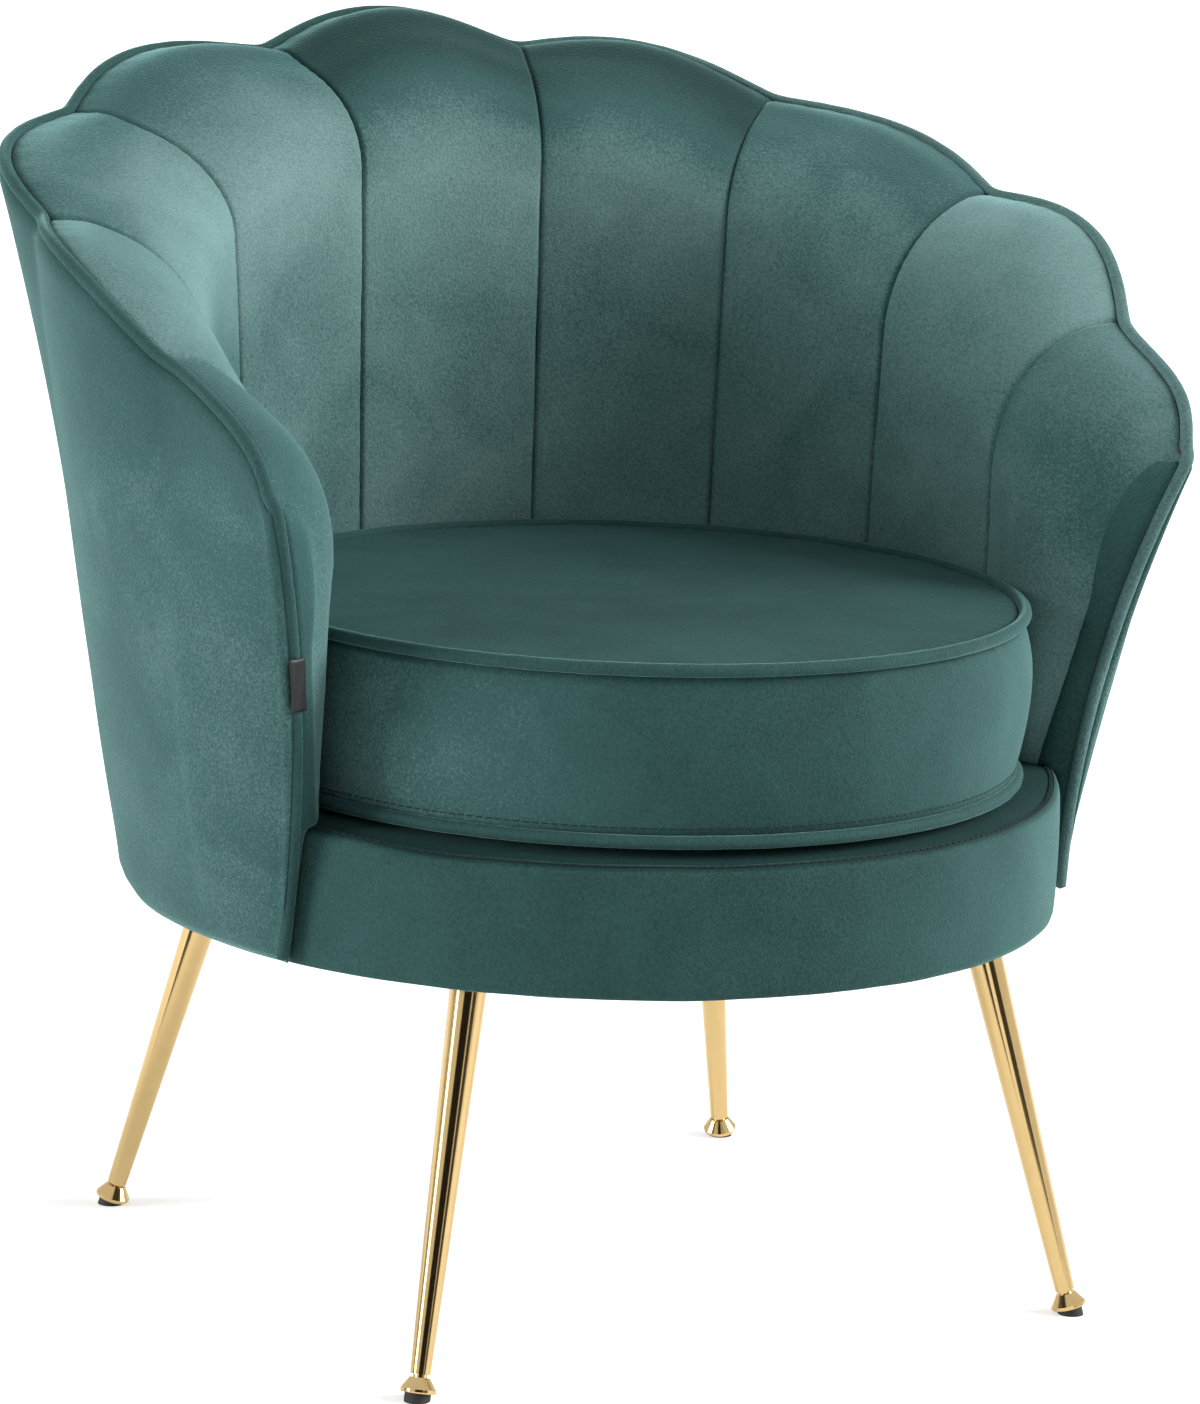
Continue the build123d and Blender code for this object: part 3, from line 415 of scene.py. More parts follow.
def tube(path, radius, sides, closed=False):
    """Tube along a line of points, with domed ends where the line is open."""
    path = np.asarray(path, float)
    n = len(path)
    if closed:
        tangents = np.roll(path, -1, 0) - np.roll(path, 1, 0)
    else:
        tangents = np.gradient(path, axis=0)
    tangents /= np.linalg.norm(tangents, axis=1)[:, None]
    normal = np.cross(tangents[0], (0.0, 0.0, 1.0))
    if np.linalg.norm(normal) < 0.1:
        normal = np.cross(tangents[0], (1.0, 0.0, 0.0))
    rings = []
    for point, t in zip(path, tangents):
        normal = normal - t * np.dot(normal, t)
        normal /= np.linalg.norm(normal)
        side = np.cross(t, normal)
        rings.append([point + radius * (cos(2 * pi * k / sides) * normal + sin(2 * pi * k / sides) * side)
                      for k in range(sides)])
    verts = [v for ring in rings for v in ring]
    faces = grid_faces(n, sides, closed=True)
    if closed:
        last = (n - 1) * sides
        shift = min(range(sides), key=lambda k: np.linalg.norm(rings[-1][0] - rings[0][k]))
        for k in range(sides):
            faces.append((last + k, last + (k + 1) % sides, (k + 1 + shift) % sides, (k + shift) % sides))
    else:
        for ring, t, base, flip in ((0, -tangents[0], 0, True), (n - 1, tangents[-1], (n - 1) * sides, False)):
            tip = len(verts)
            verts.append(path[ring] + t * radius * END_DOME)
            for k in range(sides):
                a, b = base + k, base + (k + 1) % sides
                faces.append((b, a, tip) if flip else (a, b, tip))
    return np.array(verts), faces


def even(path, step, closed=False):
    """The same line with points at even distances."""
    path = np.asarray(path, float)
    if closed:
        path = np.concatenate([path, path[:1]])
    lengths = np.concatenate([[0], np.cumsum(np.linalg.norm(np.diff(path, axis=0), axis=1))])
    count = max(int(round(lengths[-1] / step)), 2)
    at = np.linspace(0, lengths[-1], count + 1)
    if closed:
        at = at[:-1]
    return np.stack([np.interp(at, lengths, path[:, k]) for k in range(3)], 1)


def smoothed(path, times):
    """The line with its points drawn towards their neighbours; its ends stay."""
    path = np.array(path, float)
    for _ in range(times):
        path[1:-1] = 0.25 * path[:-2] + 0.5 * path[1:-1] + 0.25 * path[2:]
    return path


def mirrored(points):
    return points * np.array((-1.0, 1.0, 1.0))


def both_sides(half):
    """A half that starts at the middle of the back, with its mirror image before it."""
    return np.concatenate([mirrored(half[:0:-1]), half])


def add_piece(name, verts, faces, material, body, replaces=(), painted_light=None):
    """Adds a mesh in the frame, on its body and slot; the last argument holds a value of painted light and shade for
    every point.
    """
    mesh = bpy.data.meshes.new(name)
    placed = np.asarray(verts, float) + np.array((0.0, AXIS_Y * MM, 0.0))
    mesh.from_pydata([tuple(v) for v in placed], [], [tuple(f) for f in faces])
    mesh.validate()
    if painted_light is not None:
        mesh.attributes.new("painted_light", "FLOAT", "POINT").data.foreach_set("value", np.asarray(painted_light, np.float32))
    shape = bmesh.new()
    shape.from_mesh(mesh)
    bmesh.ops.recalc_face_normals(shape, faces=shape.faces)
    shape.to_mesh(mesh)
    shape.free()
    mesh.polygons.foreach_set("use_smooth", [True] * len(mesh.polygons))
    mesh.materials.append(material)
    piece = bpy.data.objects.new(name, mesh)
    bpy.context.scene.collection.objects.link(piece)
    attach(piece, body)
    if replaces:
        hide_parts(*replaces)
    return piece


def apply_modifiers(piece):
    """Gives a piece the mesh that its modifiers make."""
    bpy.context.view_layer.update()
    shaped = piece.evaluated_get(bpy.context.evaluated_depsgraph_get())
    mesh = bpy.data.meshes.new_from_object(shaped)
    old = piece.data
    piece.modifiers.clear()
    piece.data = mesh
    mesh.name = piece.name
    bpy.data.meshes.remove(old)


def unevenness(point, size, seed):
    """Soft random height between about -1 and 1, with features of the given size in metres."""
    return noise.noise(Vector((point[0] / size + seed, point[1] / size, point[2] / size)))


def roughen(piece, height, size, seed, amount=None):
    """Moves the points of a piece along their normals by a soft random height."""
    mesh = piece.data
    normals = [v.normal.copy() for v in mesh.vertices]
    for v, n in zip(mesh.vertices, normals):
        share = 1.0 if amount is None else amount(v.co)
        v.co = v.co + n * (height * share * unevenness(v.co, size, seed))
    mesh.update()


# ---------------------------------------------------------------------------
# Materials
# ---------------------------------------------------------------------------


def add_node(tree, kind, inputs=None, **settings):
    """Adds a node, sets its properties, and sets or links its inputs."""
    made = tree.nodes.new(kind)
    for name, value in settings.items():
        setattr(made, name, value)
    for name, value in (inputs or {}).items():
        if isinstance(value, bpy.types.NodeSocket):
            tree.links.new(value, made.inputs[name])
        else:
            made.inputs[name].default_value = value
    return made


def new_material(name, **values):
    """A material with a Principled shader; values set the shader's own sockets."""
    material = bpy.data.materials.new(name)
    material.use_nodes = True
    shader = material.node_tree.nodes["Principled BSDF"]
    for socket, value in values.items():
        shader.inputs[socket.replace("_", " ")].default_value = value
    return material, material.node_tree, shader


def rgba(colour):
    return (*colour[:3], 1.0)


def velvet_material(name, finish, shade=1.0, sheen=SHEEN):
    """Short velvet: dull face, pale sheen at grazing angles, random patches and tufts in its tone, and painted light
    and shade from a value on every point.
    """
    made = bpy.data.materials.get(name)
    if made:
        return made
    material, tree, shader = new_material(
        name, Roughness=0.78, Sheen_Weight=sheen, Sheen_Roughness=0.30, Sheen_Tint=rgba(srgb("#a2d8d6")), IOR=1.45,
        Specular_IOR_Level=0.18)
    spot = add_node(tree, "ShaderNodeTexCoord").outputs["Object"]
    painted_light = add_node(tree, "ShaderNodeAttribute", attribute_name="painted_light").outputs["Fac"]
    patch = add_node(tree, "ShaderNodeTexNoise", {"Vector": spot, "Scale": 1 / PILE_PATCH, "Detail": 3.0,
                                                  "Roughness": 0.55, "Distortion": 0.6}).outputs["Fac"]
    tuft = add_node(tree, "ShaderNodeTexNoise", {"Vector": spot, "Scale": 1 / PILE_TUFT, "Detail": 2.0,
                                                 "Roughness": 0.65}).outputs["Fac"]
    tone = painted_light
    for grain, share in ((patch, PATCH_SHARE), (tuft, TUFT_SHARE)):
        tone = add_node(tree, "ShaderNodeMath", {0: grain, 1: share, 2: tone}, operation="MULTIPLY_ADD").outputs[0]
    # both patterns lie about 0.5, so half of their shares centres the tone on the value of painted light and shade
    centred = add_node(tree, "ShaderNodeMath", {0: tone, 1: 0.5 * (PATCH_SHARE + TUFT_SHARE)}, operation="SUBTRACT")
    # the ramp runs from the velvet painted in shade, through its plain colour, to the velvet painted in light
    ramp = add_node(tree, "ShaderNodeValToRGB", {"Fac": centred.outputs[0]})
    ramp.color_ramp.elements.new(0.5)
    for stop, colour in zip(ramp.color_ramp.elements, (finish.painted_shade_colour, finish.pile_mid, finish.painted_light_colour)):
        stop.color = rgba([c * shade for c in colour])
    tree.links.new(ramp.outputs["Color"], shader.inputs["Base Color"])
    bump = add_node(tree, "ShaderNodeBump", {"Height": tuft, "Strength": 0.5, "Distance": 0.0012})
    tree.links.new(bump.outputs["Normal"], shader.inputs["Normal"])
    return material


def plain_material(name, colour, roughness, grain, contrast, metallic=0.0, bump=0.0, stretch=(1, 1, 1)):
    """A finish with a faint grain of the given size in metres in its colour and relief."""
    made = bpy.data.materials.get(name)
    if made:
        return made
    material, tree, shader = new_material(name, Base_Color=rgba(colour), Roughness=roughness, Metallic=metallic)
    spot = add_node(tree, "ShaderNodeTexCoord").outputs["Object"]
    scaled = add_node(tree, "ShaderNodeMapping", {"Vector": spot, "Scale": stretch}).outputs["Vector"]
    speck = add_node(tree, "ShaderNodeTexNoise", {"Vector": scaled, "Scale": 1 / grain, "Detail": 4.0}).outputs["Fac"]
    ramp = add_node(tree, "ShaderNodeValToRGB", {"Fac": speck})
    for stop, position, tone in zip(ramp.color_ramp.elements, (0.3, 0.7), (1 - contrast, 1 + contrast)):
        stop.position = position
        stop.color = rgba([min(c * tone, 1.0) for c in colour])
    tree.links.new(ramp.outputs["Color"], shader.inputs["Base Color"])
    if bump:
        relief = add_node(tree, "ShaderNodeBump", {"Height": speck, "Strength": bump, "Distance": 0.0003})
        tree.links.new(relief.outputs["Normal"], shader.inputs["Normal"])
    return material


def brass_material(finish):
    """Polished brass plate: warm yellow mirror with a faint unevenness in its gloss."""
    return plain_material("polished_brass", tuple(finish.brass), roughness=0.13, metallic=1.0,
                          grain=0.012, contrast=0.03)


# ---------------------------------------------------------------------------
# Shell
# ---------------------------------------------------------------------------


def roll_height(channel, s):
    """How far a channel rolls up above its edge line."""
    if channel == ARM_CHANNEL:
        return SEAM_ROLL[3] * (1 - s)
    lower = channel - 1 if channel else 0
    arch = max(4 * s * (1 - s), 0.0)
    return SEAM_ROLL[lower] * (1 - s) + SEAM_ROLL[channel] * s + CROWN_ROLL[channel] * arch**0.6


def inner_profile(sec, rows_low, rows_high, roll=0.0):
    """Face of a channel from the deck up and over its rolled top, as (radius, height)."""
    end = (sec.rim[0] - PIPING - SEAM_GAP, sec.rim[1])
    foot = (sec.foot, CHANNEL_FOOT)
    points = []
    for k in range(rows_low):
        t = k / rows_low
        points.append((foot[0] + (sec.shoulder[0] - foot[0]) * t, foot[1] + (sec.shoulder[1] - foot[1]) * t))
    for k in range(rows_high + 1):
        a = 0.5 * pi * k / rows_high
        over = roll * exp(-(((1 - cos(a) - 0.80) / 0.14) ** 2))
        points.append((sec.shoulder[0] + (end[0] - sec.shoulder[0]) * (1 - cos(a)),
                       sec.shoulder[1] + (end[1] - sec.shoulder[1]) * sin(a) + over))
    # the tucked edge beside and under the piping
    points += [(end[0] + 0.5, end[1] - 2.2), (end[0] + 2.6, end[1] - 3.5), (sec.rim[0] - 0.5, end[1] - 3.95)]
    return points


def painted_light_of_face(share, channel, side):
    """Painted light and shade on a channel's face, from its foot (0) to its edge (1)."""
    foot, channels = FACE_PAINTED_LIGHT[side]
    top, band = channels[channel]
    return float(np.interp(share, (0.0, 0.25, 0.5, 0.68, 0.8, 0.9, 1.0),
                           (foot, 0.5 * foot + 0.34, 0.66, band, 0.55 * band + 0.45 * top, top, top)))


def channel_width(channel):
    """Rough width of a channel in millimetres, half way up."""
    if channel == ARM_CHANNEL:
        return radians(ARM["angle"][-1] - ARM["angle"][0]) * 310.0
    angles = SEAM["angle"]
    return radians(angles[channel] - (angles[channel - 1] if channel else -angles[0])) * 280.0


def channel_grids(channel, fullness, side):
    """Front and back points of a channel's pad, and the painted light and shade of each front point."""
    rows_low, rows_high, cols = 56, 32, 65
    # the pad stops a hair short of its seams, and its columns stand closer there
    edge = 0.0018
    shares = edge + (1 - 2 * edge) * 0.5 * (1 - np.cos(np.linspace(0, pi, cols)))
    width = channel_width(channel)
    front, back, painted_light = [], [], []
    for s in shares:
        sec = section(channel, s, fullness)
        profile = np.array(inner_profile(sec, rows_low, rows_high, roll_height(channel, s)))
        lengths = np.concatenate([[0], np.cumsum(np.linalg.norm(np.diff(profile, axis=0), axis=1))])
        along = np.gradient(profile, axis=0)
        along /= np.linalg.norm(along, axis=1)[:, None]
        facing = np.stack([-along[:, 1], along[:, 0]], 1)
        seam = (s if channel == ARM_CHANNEL else min(s, 1 - s)) * width
        crease = exp(-((seam / CREASE_WIDTH) ** 2))
        # small puckers where the velvet is gathered into the seam, under the piping and at the arm's front
        height, reach, wave = SEAM_PUCKER
        gather = height * exp(-seam / reach) * np.sin(lengths / wave + 3.0 * channel)
        height, reach, wave = RIM_PUCKER
        gather += height * np.exp(-(lengths[-1] - lengths) / reach) * sin(s * width / wave + channel)
        if channel == ARM_CHANNEL:
            height, reach, wave = FRONT_PUCKER
            patches = np.sin(lengths / 23.0 + 1.0) ** 2
            gather += height * exp(-(1 - s) * width / reach) * np.sin(lengths / wave) * patches
        gather[-2:] = 0.0
        moved = profile + facing * (gather - CREASE_DEPTH * crease)[:, None]
        front.append([place(sec, r, z) for r, z in moved])
        top = sec.rim[1] - PIPING - SEAM_GAP
        heights = np.linspace(CHANNEL_FOOT, top, len(profile))
        back.append([place(sec, max(back_radius(sec, z), sec.foot + 1.0 + CREASE_DEPTH * crease), z) for z in heights])
        # painted shade: the velvet is drawn darker in the stitched seam
        flat = 0.10 * exp(-((seam / 2.2) ** 2))
        painted_light.append([painted_light_of_face(v / lengths[-1], channel, side) - flat for v in lengths])
    return np.array(front).swapaxes(0, 1), np.array(back).swapaxes(0, 1), np.array(painted_light).T


def arm_nose(fullness):
    """Rounded front of an arm, from its inner face to the piping down its front edge."""
    rows, steps = 40, 7
    sec = section(ARM_CHANNEL, 1.0, fullness)
    # the inner face without its three tucked points
    radii, heights = zip(*inner_profile(sec, rows_low=44, rows_high=24)[:-3])
    top = sec.rim[1] - 4.0
    grid, hidden = [], []
    # more rows beside the deck, where the nose follows the turn of the base band
    beside_deck = DECK + np.array((-8.0, -6.0, -4.0, -2.5, -1.2, -0.4, 0.4))
    for z in np.unique(np.concatenate([np.linspace(SHELL_BOTTOM[1], top, rows), beside_deck])):
        edge = front_line(z) - PIPING - 0.5
        inner = BAND_RADIUS + BESIDE_BAND if z < DECK else float(np.interp(z, heights, radii))
        if DECK - BAND_TURN < z < DECK:
            inner = BAND_RADIUS - BAND_TURN + sqrt(BAND_TURN ** 2 - (z - DECK + BAND_TURN) ** 2) + 0.3
        inner = min(inner, edge - 1.5)
        line, deep = [], []
        for k in range(steps):
            a = 0.5 * pi * k / (steps - 1)
            ahead = -0.5 + (FRONT_AHEAD + 1.2) * sin(a)
            radius = inner + (edge - inner) * (1 - cos(a))
            line.append(place(sec, radius, z, ahead))
            deep.append(place(sec, inner + (edge - inner) * k / (steps - 1), z, -2.0))
        grid.append(line)
        hidden.append(deep)
    return np.array(grid), np.array(hidden)


class ARMCHAIR_OT_channels(bpy.types.Operator):
    """Builds the nine padded channels of the shell"""

    bl_idname = "armchair.channels"
    bl_label = "Channels"

    def execute(self, context):
        shell = context.scene.armchair_shell
        velvet = velvet_material("teal_velvet", context.scene.armchair_finish)
        for channel, name in enumerate(CHANNEL_NAMES):
            for side in ("left", "right") if channel else ("left",):
                # each channel gets its painted light and shade, which differs between the lit and the shaded side
                *grids, painted_tone = channel_grids(channel, shell.fullness, side)
                if side == "right":
                    grids = [mirrored(grid) for grid in grids]
                verts, faces = closed_pad(*grids)
                label = f"{name}_{side}" if channel else name
                piece = add_piece(
                    f"channel_{label}", verts, faces, velvet, "chair",
                    [f"channel_velvet_{label}", f"channel_foam_{label}"],
                    painted_light=np.tile(painted_tone.ravel(), 2))
                roughen(piece, shell.ripple, size=0.055, seed=3.0)
        nose, hidden = arm_nose(shell.fullness)
        for side in ("left", "right"):
            grids = (nose, hidden) if side == "left" else (mirrored(nose), mirrored(hidden))
            verts, faces = closed_pad(*grids)
            # painted light and shade on the arm's front, changing with height
            painted_tone = np.interp(verts[:, 2] / MM, NOSE_HEIGHTS, NOSE_PAINTED_LIGHT[side])
            piece = add_piece(f"arm_nose_{side}", verts, faces, velvet, "chair", painted_light=painted_tone)
        return {"FINISHED"}


class ARMCHAIR_OT_outer_cover(bpy.types.Operator):
    """Builds the velvet over the outside of the shell"""

    bl_idname = "armchair.outer_cover"
    bl_label = "Outer cover"

    def execute(self, context):
        shell = context.scene.armchair_shell
        velvet = velvet_material("teal_velvet", context.scene.armchair_finish)
        front = section(ARM_CHANNEL, 1.0, shell.fullness)
        # the cover turns forward round the arm's front in three steps
        steps = [(sec, None) for sec in half_sections(shell.fullness, 28)]
        steps += [(front, q) for q in (None, 0.34, 0.67, 1.0)]
        rows, low = 56, SHELL_BOTTOM[1]
        outer, inner, painted_light = [], [], []
        for sec, q in steps:
            line, deep, painted_tone = [], [], []
            top = sec.rim[1] - 3.0
            for i in range(rows):
                t = i / (rows - 1)
                z = low + (top - low) * t
                # the cover is drawn in at its lower edge and under the piping
                r = outer_radius(sec, z)
                r -= 6.0 * max(0.0, 1 - (z - low) / 18.0) ** 2
                r -= 3.2 * max(0.0, 1 - (top - z) / 7.0) ** 2
                ahead = 0.0
                if q is not None:
                    edge = front_line(min(z, ARM_TOP)) + PIPING + 0.4
                    ahead = (FRONT_AHEAD + 0.6) * sin(0.5 * pi * q)
                    r = r + (min(edge, r) - r) * (1 - cos(0.5 * pi * q))
                line.append(place(sec, r, z, ahead))
                deep.append(place(sec, r - COVER, z, min(ahead, 2.0)))
                # painted light and shade on the outside: lighter at mid height, darker at the bottom and darkest under
                # the piping
                painted_tone.append(float(np.interp(t, (0.0, 0.1, 0.5, 0.85, 1.0), (0.48, 0.52, 0.54, 0.48, 0.34))))
            outer.append(line)
            inner.append(deep)
            painted_light.append(painted_tone)
        verts, faces = closed_pad(both_sides(np.array(outer)), both_sides(np.array(inner)))
        painted_light = np.array(painted_light[:0:-1] + painted_light)
        piece = add_piece("outer_velvet", verts, faces, velvet, "chair",
                          ["outer_cover", "outer_wadding"], painted_light=np.tile(painted_light.ravel(), 2))
        roughen(piece, shell.ripple, size=0.08, seed=7.0)
        return {"FINISHED"}


def rim_path(fullness):
    """Line of the piping from the foot of one arm's front edge round the shell to the other."""
    half = [place(sec, *sec.rim) for sec in half_sections(fullness, 60)]
    end = section(ARM_CHANNEL, 1.0, fullness)
    for z in np.linspace(ARM_TOP, SHELL_BOTTOM[1] + 4.0, 90):
        half.append(place(end, front_line(z), z, FRONT_AHEAD))
    line = both_sides(np.array(half))
    return smoothed(even(line, step=0.0022), times=8)


class ARMCHAIR_OT_piping(bpy.types.Operator):
    """Builds the piping round the shell's scalloped edge and down the arm fronts"""

    bl_idname = "armchair.piping"
    bl_label = "Shell piping"

    def execute(self, context):
        shell = context.scene.armchair_shell
        velvet = velvet_material("teal_velvet_piping", context.scene.armchair_finish, PIPING_SHADE)
        verts, faces = tube(rim_path(shell.fullness), shell.piping, sides=14)
        # painted light: the piping is drawn lighter on the +x side, where the right-hand lamp falls
        piece = add_piece("shell_piping", verts, faces, velvet, "chair", ["rim_piping"],
                          painted_light=0.36 + 0.34 * np.clip(verts[:, 0] / 0.25, 0.0, 1.0))
        roughen(piece, height=0.0002, size=0.012, seed=1.0)
        return {"FINISHED"}


# ---------------------------------------------------------------------------
# Base
# ---------------------------------------------------------------------------


def front_dip(angle):
    """Share of the deck's slope to its front seam: none beside the arms, all of it between them."""
    t = clamped((min(angle, 360.0 - angle) - 117.0) / 16.0)
    return t * t * (3 - 2 * t)


def band_profile(dip):
    """Face of the base band, from its tucked lower edge to the deck seam, as (radius, height)."""
    low = [(293.0, 253.0), (296.6, 251.6), (299.0, 252.6)]
    centre = (BAND_RADIUS - BAND_TURN, DECK - DECK_DIP * dip - BAND_TURN)
    straight = [(BAND_RADIUS + 0.9 * sin(pi * t), BAND_LOW + (centre[1] - BAND_LOW) * t)
                for t in np.linspace(0, 1, 18)]
    turn = [(centre[0] + BAND_TURN * cos(a), centre[1] + BAND_TURN * sin(a))
            for a in np.radians((15, 30, 45, 60, 75))]
    return low + straight + turn


def band_start(radius, height):
    """Angle at which the band meets the front of the arm."""
    along = tan(radians(ARM_LEAN)) * (height - LEAN_FROM) + 0.4
    return ARM["angle"][-1] + degrees(along / radius)


class ARMCHAIR_OT_base(bpy.types.Operator):
    """Builds the velvet band and deck of the base, their stitching and the lining underneath"""

    bl_idname = "armchair.base"
    bl_label = "Base"

    def execute(self, context):
        finish = context.scene.armchair_finish
        velvet = velvet_material("teal_velvet", finish)
        flat = velvet_material("teal_velvet_seat", finish, sheen=FLAT_SHEEN)
        self.band(velvet, flat)
        self.deck(flat)
        # stitches along the deck seam, between the arms
        start = band_start(*band_profile(0.0)[-1]) + 0.6
        line = []
        for angle in np.linspace(start, 360.0 - start, 400):
            r, z = band_profile(front_dip(angle))[-2]
            line.append(around(r + 0.4, radians(angle), z + 0.3))
        stitch_row("base_stitches", line, context.scene.armchair_cushion.stitch, "chair")
        self.lining()
        return {"FINISHED"}

    def band(self, velvet, flat):
        """Velvet round the front of the base, from arm to arm."""
        cols = 161
        front, back, painted_light = [], [], []
        between_arms = band_profile(1.0)
        rows = len(between_arms)
        for i in range(rows):
            start = band_start(*between_arms[i])
            line, deep, painted_tone = [], [], []
            for angle in np.linspace(start, 360.0 - start, cols):
                r, z = band_profile(front_dip(angle))[i]
                a = radians(angle)
                line.append(around(r, a, z))
                deep.append(around(min(r - 2.2, BAND_RADIUS - 3.3), a, min(z, DECK - 8.0)))
                # painted light, lighter towards both ends and most at the +x end, where the right-hand lamp falls, and
                # painted shade where the velvet turns into the seam
                across = sin(a) * abs(sin(a)) ** 0.5
                painted_tone.append(0.2 + (0.42 if across > 0 else -0.12) * across - 0.2 * max(i - rows + BAND_TURN_ROWS, 0))
            front.append(line)
            back.append(deep)
            painted_light.append(painted_tone)
        verts, faces = closed_pad(np.array(front), np.array(back))
        piece = add_piece("base_velvet_band", verts, faces, velvet, "chair", ["base_band", "edge_roll"],
                          painted_light=np.tile(np.ravel(painted_light), 2))
        # the velvet that turns into the seam has its pile pressed flat
        piece.data.materials.append(flat)
        for face in piece.data.polygons:
            if all((rows - BAND_TURN_ROWS) * cols <= v < rows * cols for v in face.vertices):
                face.material_index = 1
        roughen(piece, height=0.0008, size=0.045, seed=11.0)

    def deck(self, flat):
        """Round of velvet that turns down into the seam at its edge."""
        # radius, and the drop beside the arms and between them
        rings = [(r, 0.0, 0.0) for r in np.linspace(20.0, 262.0, 14)]
        rings += [(272.0, 0.0, 0.5), (281.0, 0.0, 1.8), (287.0, 0.2, 3.1), (291.0, 0.6, 4.6), (294.5, 1.6, 6.4),
                  (296.2, 3.0, 9.0)]
        top = []
        for r, beside, between in rings:
            line = []
            for angle in np.linspace(0, 360, 144, endpoint=False):
                drop = beside + (between - beside) * front_dip(angle)
                line.append(around(r, radians(angle), DECK - drop))
            top.append(line)
        low = [[(x, y, z - DECK_THICK * MM) for x, y, z in ring] for ring in top]
        verts, faces = round_plate(top + low[::-1], [(0.0, 0.0, z * MM) for z in (DECK, DECK - DECK_THICK)])
        # painted shade: the whole deck, under and round the cushion, is drawn at the darkest tone
        piece = add_piece("deck_velvet", verts, faces, flat, "chair", ["deck_cover", "deck_felt"],
                          painted_light=np.zeros(len(verts)))

    def lining(self):
        """Black lining stretched under the floor board; it sags a little clear of the legs' plates and its edge."""
        plates = [(sx * LEG_PLATE[0], sy * LEG_PLATE[1]) for sx in (1, -1) for sy in (1, -1)]

        def height(x, y):
            clear = clamped((min(np.hypot(x - px, y - py) for px, py in plates) - 42.0) / 40.0)
            edge = clamped((285.0 - np.hypot(x, y)) / 60.0)
            sag = LINING_SAG * clear * edge * (0.7 + 0.5 * noise.noise(Vector((x * 0.02, y * 0.02, 5.0))))
            return LINING_HEIGHT - max(sag, 0.0)

        low = [[around(r, a, height(r * sin(a), r * cos(a))) for a in np.linspace(0, 2 * pi, 120, endpoint=False)]
               for r in np.linspace(14.0, LINING_RADIUS, 22)]
        high = [[(x, y, z + LINING_THICK * MM) for x, y, z in ring] for ring in low]
        middle = height(0, 0)
        verts, faces = round_plate(low + high[::-1], [(0.0, 0.0, z * MM) for z in (middle, middle + LINING_THICK)])
        # thin black cloth with a dull weave: threads are about 0.3 mm, drawn at 1.5 mm so that they show
        cloth = plain_material("black_lining", srgb("#1b1b1c"), roughness=0.9, grain=0.0015, contrast=0.3, bump=0.2)
        piece = add_piece("base_lining", verts, faces, cloth, "chair", ["dust_cover"])


def stitch_row(name, line, length, body):
    """A row of short thread stitches along a line."""
    line = even(line, STITCH_STEP)
    step = max(int(round(length * STITCH_SPACING / STITCH_STEP)), 2)
    run = max(int(round(length / STITCH_STEP)), 2)
    verts, faces = [], []
    for start in range(0, len(line) - run, step):
        v, f = tube(line[start:start + run + 1:2], THREAD_RADIUS, sides=6)
        offset = len(verts)
        verts.extend(v)
        faces.extend(tuple(offset + k for k in face) for face in f)
    # twisted thread, dark and dull: it draws the seam as a fine broken line
    thread = plain_material("teal_thread", srgb("#0f1f1f"), roughness=0.9, grain=0.001, contrast=0.2)
    return add_piece(name, verts, faces, thread, body)


# ---------------------------------------------------------------------------
# Cushion
# ---------------------------------------------------------------------------


def cushion_profile(crown):
    """Half outline of the cushion from the middle of its bottom to the middle of its top, in millimetres."""
    cord = CUSHION_RADIUS - PIPING
    panel = cord - PIPING - 0.3
    low, high = CUSHION_LOW, CUSHION_SEAM
    outline = [(r, low + CUSHION_LIFT * max(0.0, (r - 205.0) / 45.0) ** 2) for r in np.linspace(6.0, panel - 4.0, 16)]
    low += CUSHION_LIFT
    outline += [(panel, low + 1.2), (cord - 3.6, low + 4.2), (cord - 2.8, low + 7.6)]
    for t in np.linspace(0, 1, 21)[1:-1]:
        z = low + 8.8 + (high - 4.4 - low - 8.8) * t
        outline.append((cord - 2.4 + 2.2 * (4 * t * (1 - t)) ** 0.7, z))
    outline += [(cord - 2.8, high - 3.4), (cord - 3.8, high - 0.2), (panel - 0.6, high + 1.6)]
    ball = (panel**2 + crown**2) / (2 * crown)
    for r in np.linspace(panel - 5.0, 6.0, 18):
        dome = high + crown - ball + sqrt(ball**2 - r**2)
        outline.append((r, dome + 1.6 * (r / panel) ** 6))
    return outline


def even_mesh(piece, size):
    """Remakes the mesh of a closed piece in even squares."""
    modifier = piece.modifiers.new("even", "REMESH")
    modifier.mode = "VOXEL"
    modifier.voxel_size = size
    modifier.use_smooth_shade = True
    apply_modifiers(piece)


def points_of(piece):
    """Places of a piece's points, one row each."""
    places = np.empty(len(piece.data.vertices) * 3)
    piece.data.vertices.foreach_get("co", places)
    return places.reshape(-1, 3)


def set_points(piece, places):
    piece.data.vertices.foreach_set("co", np.asarray(places, float).ravel())
    piece.data.update()


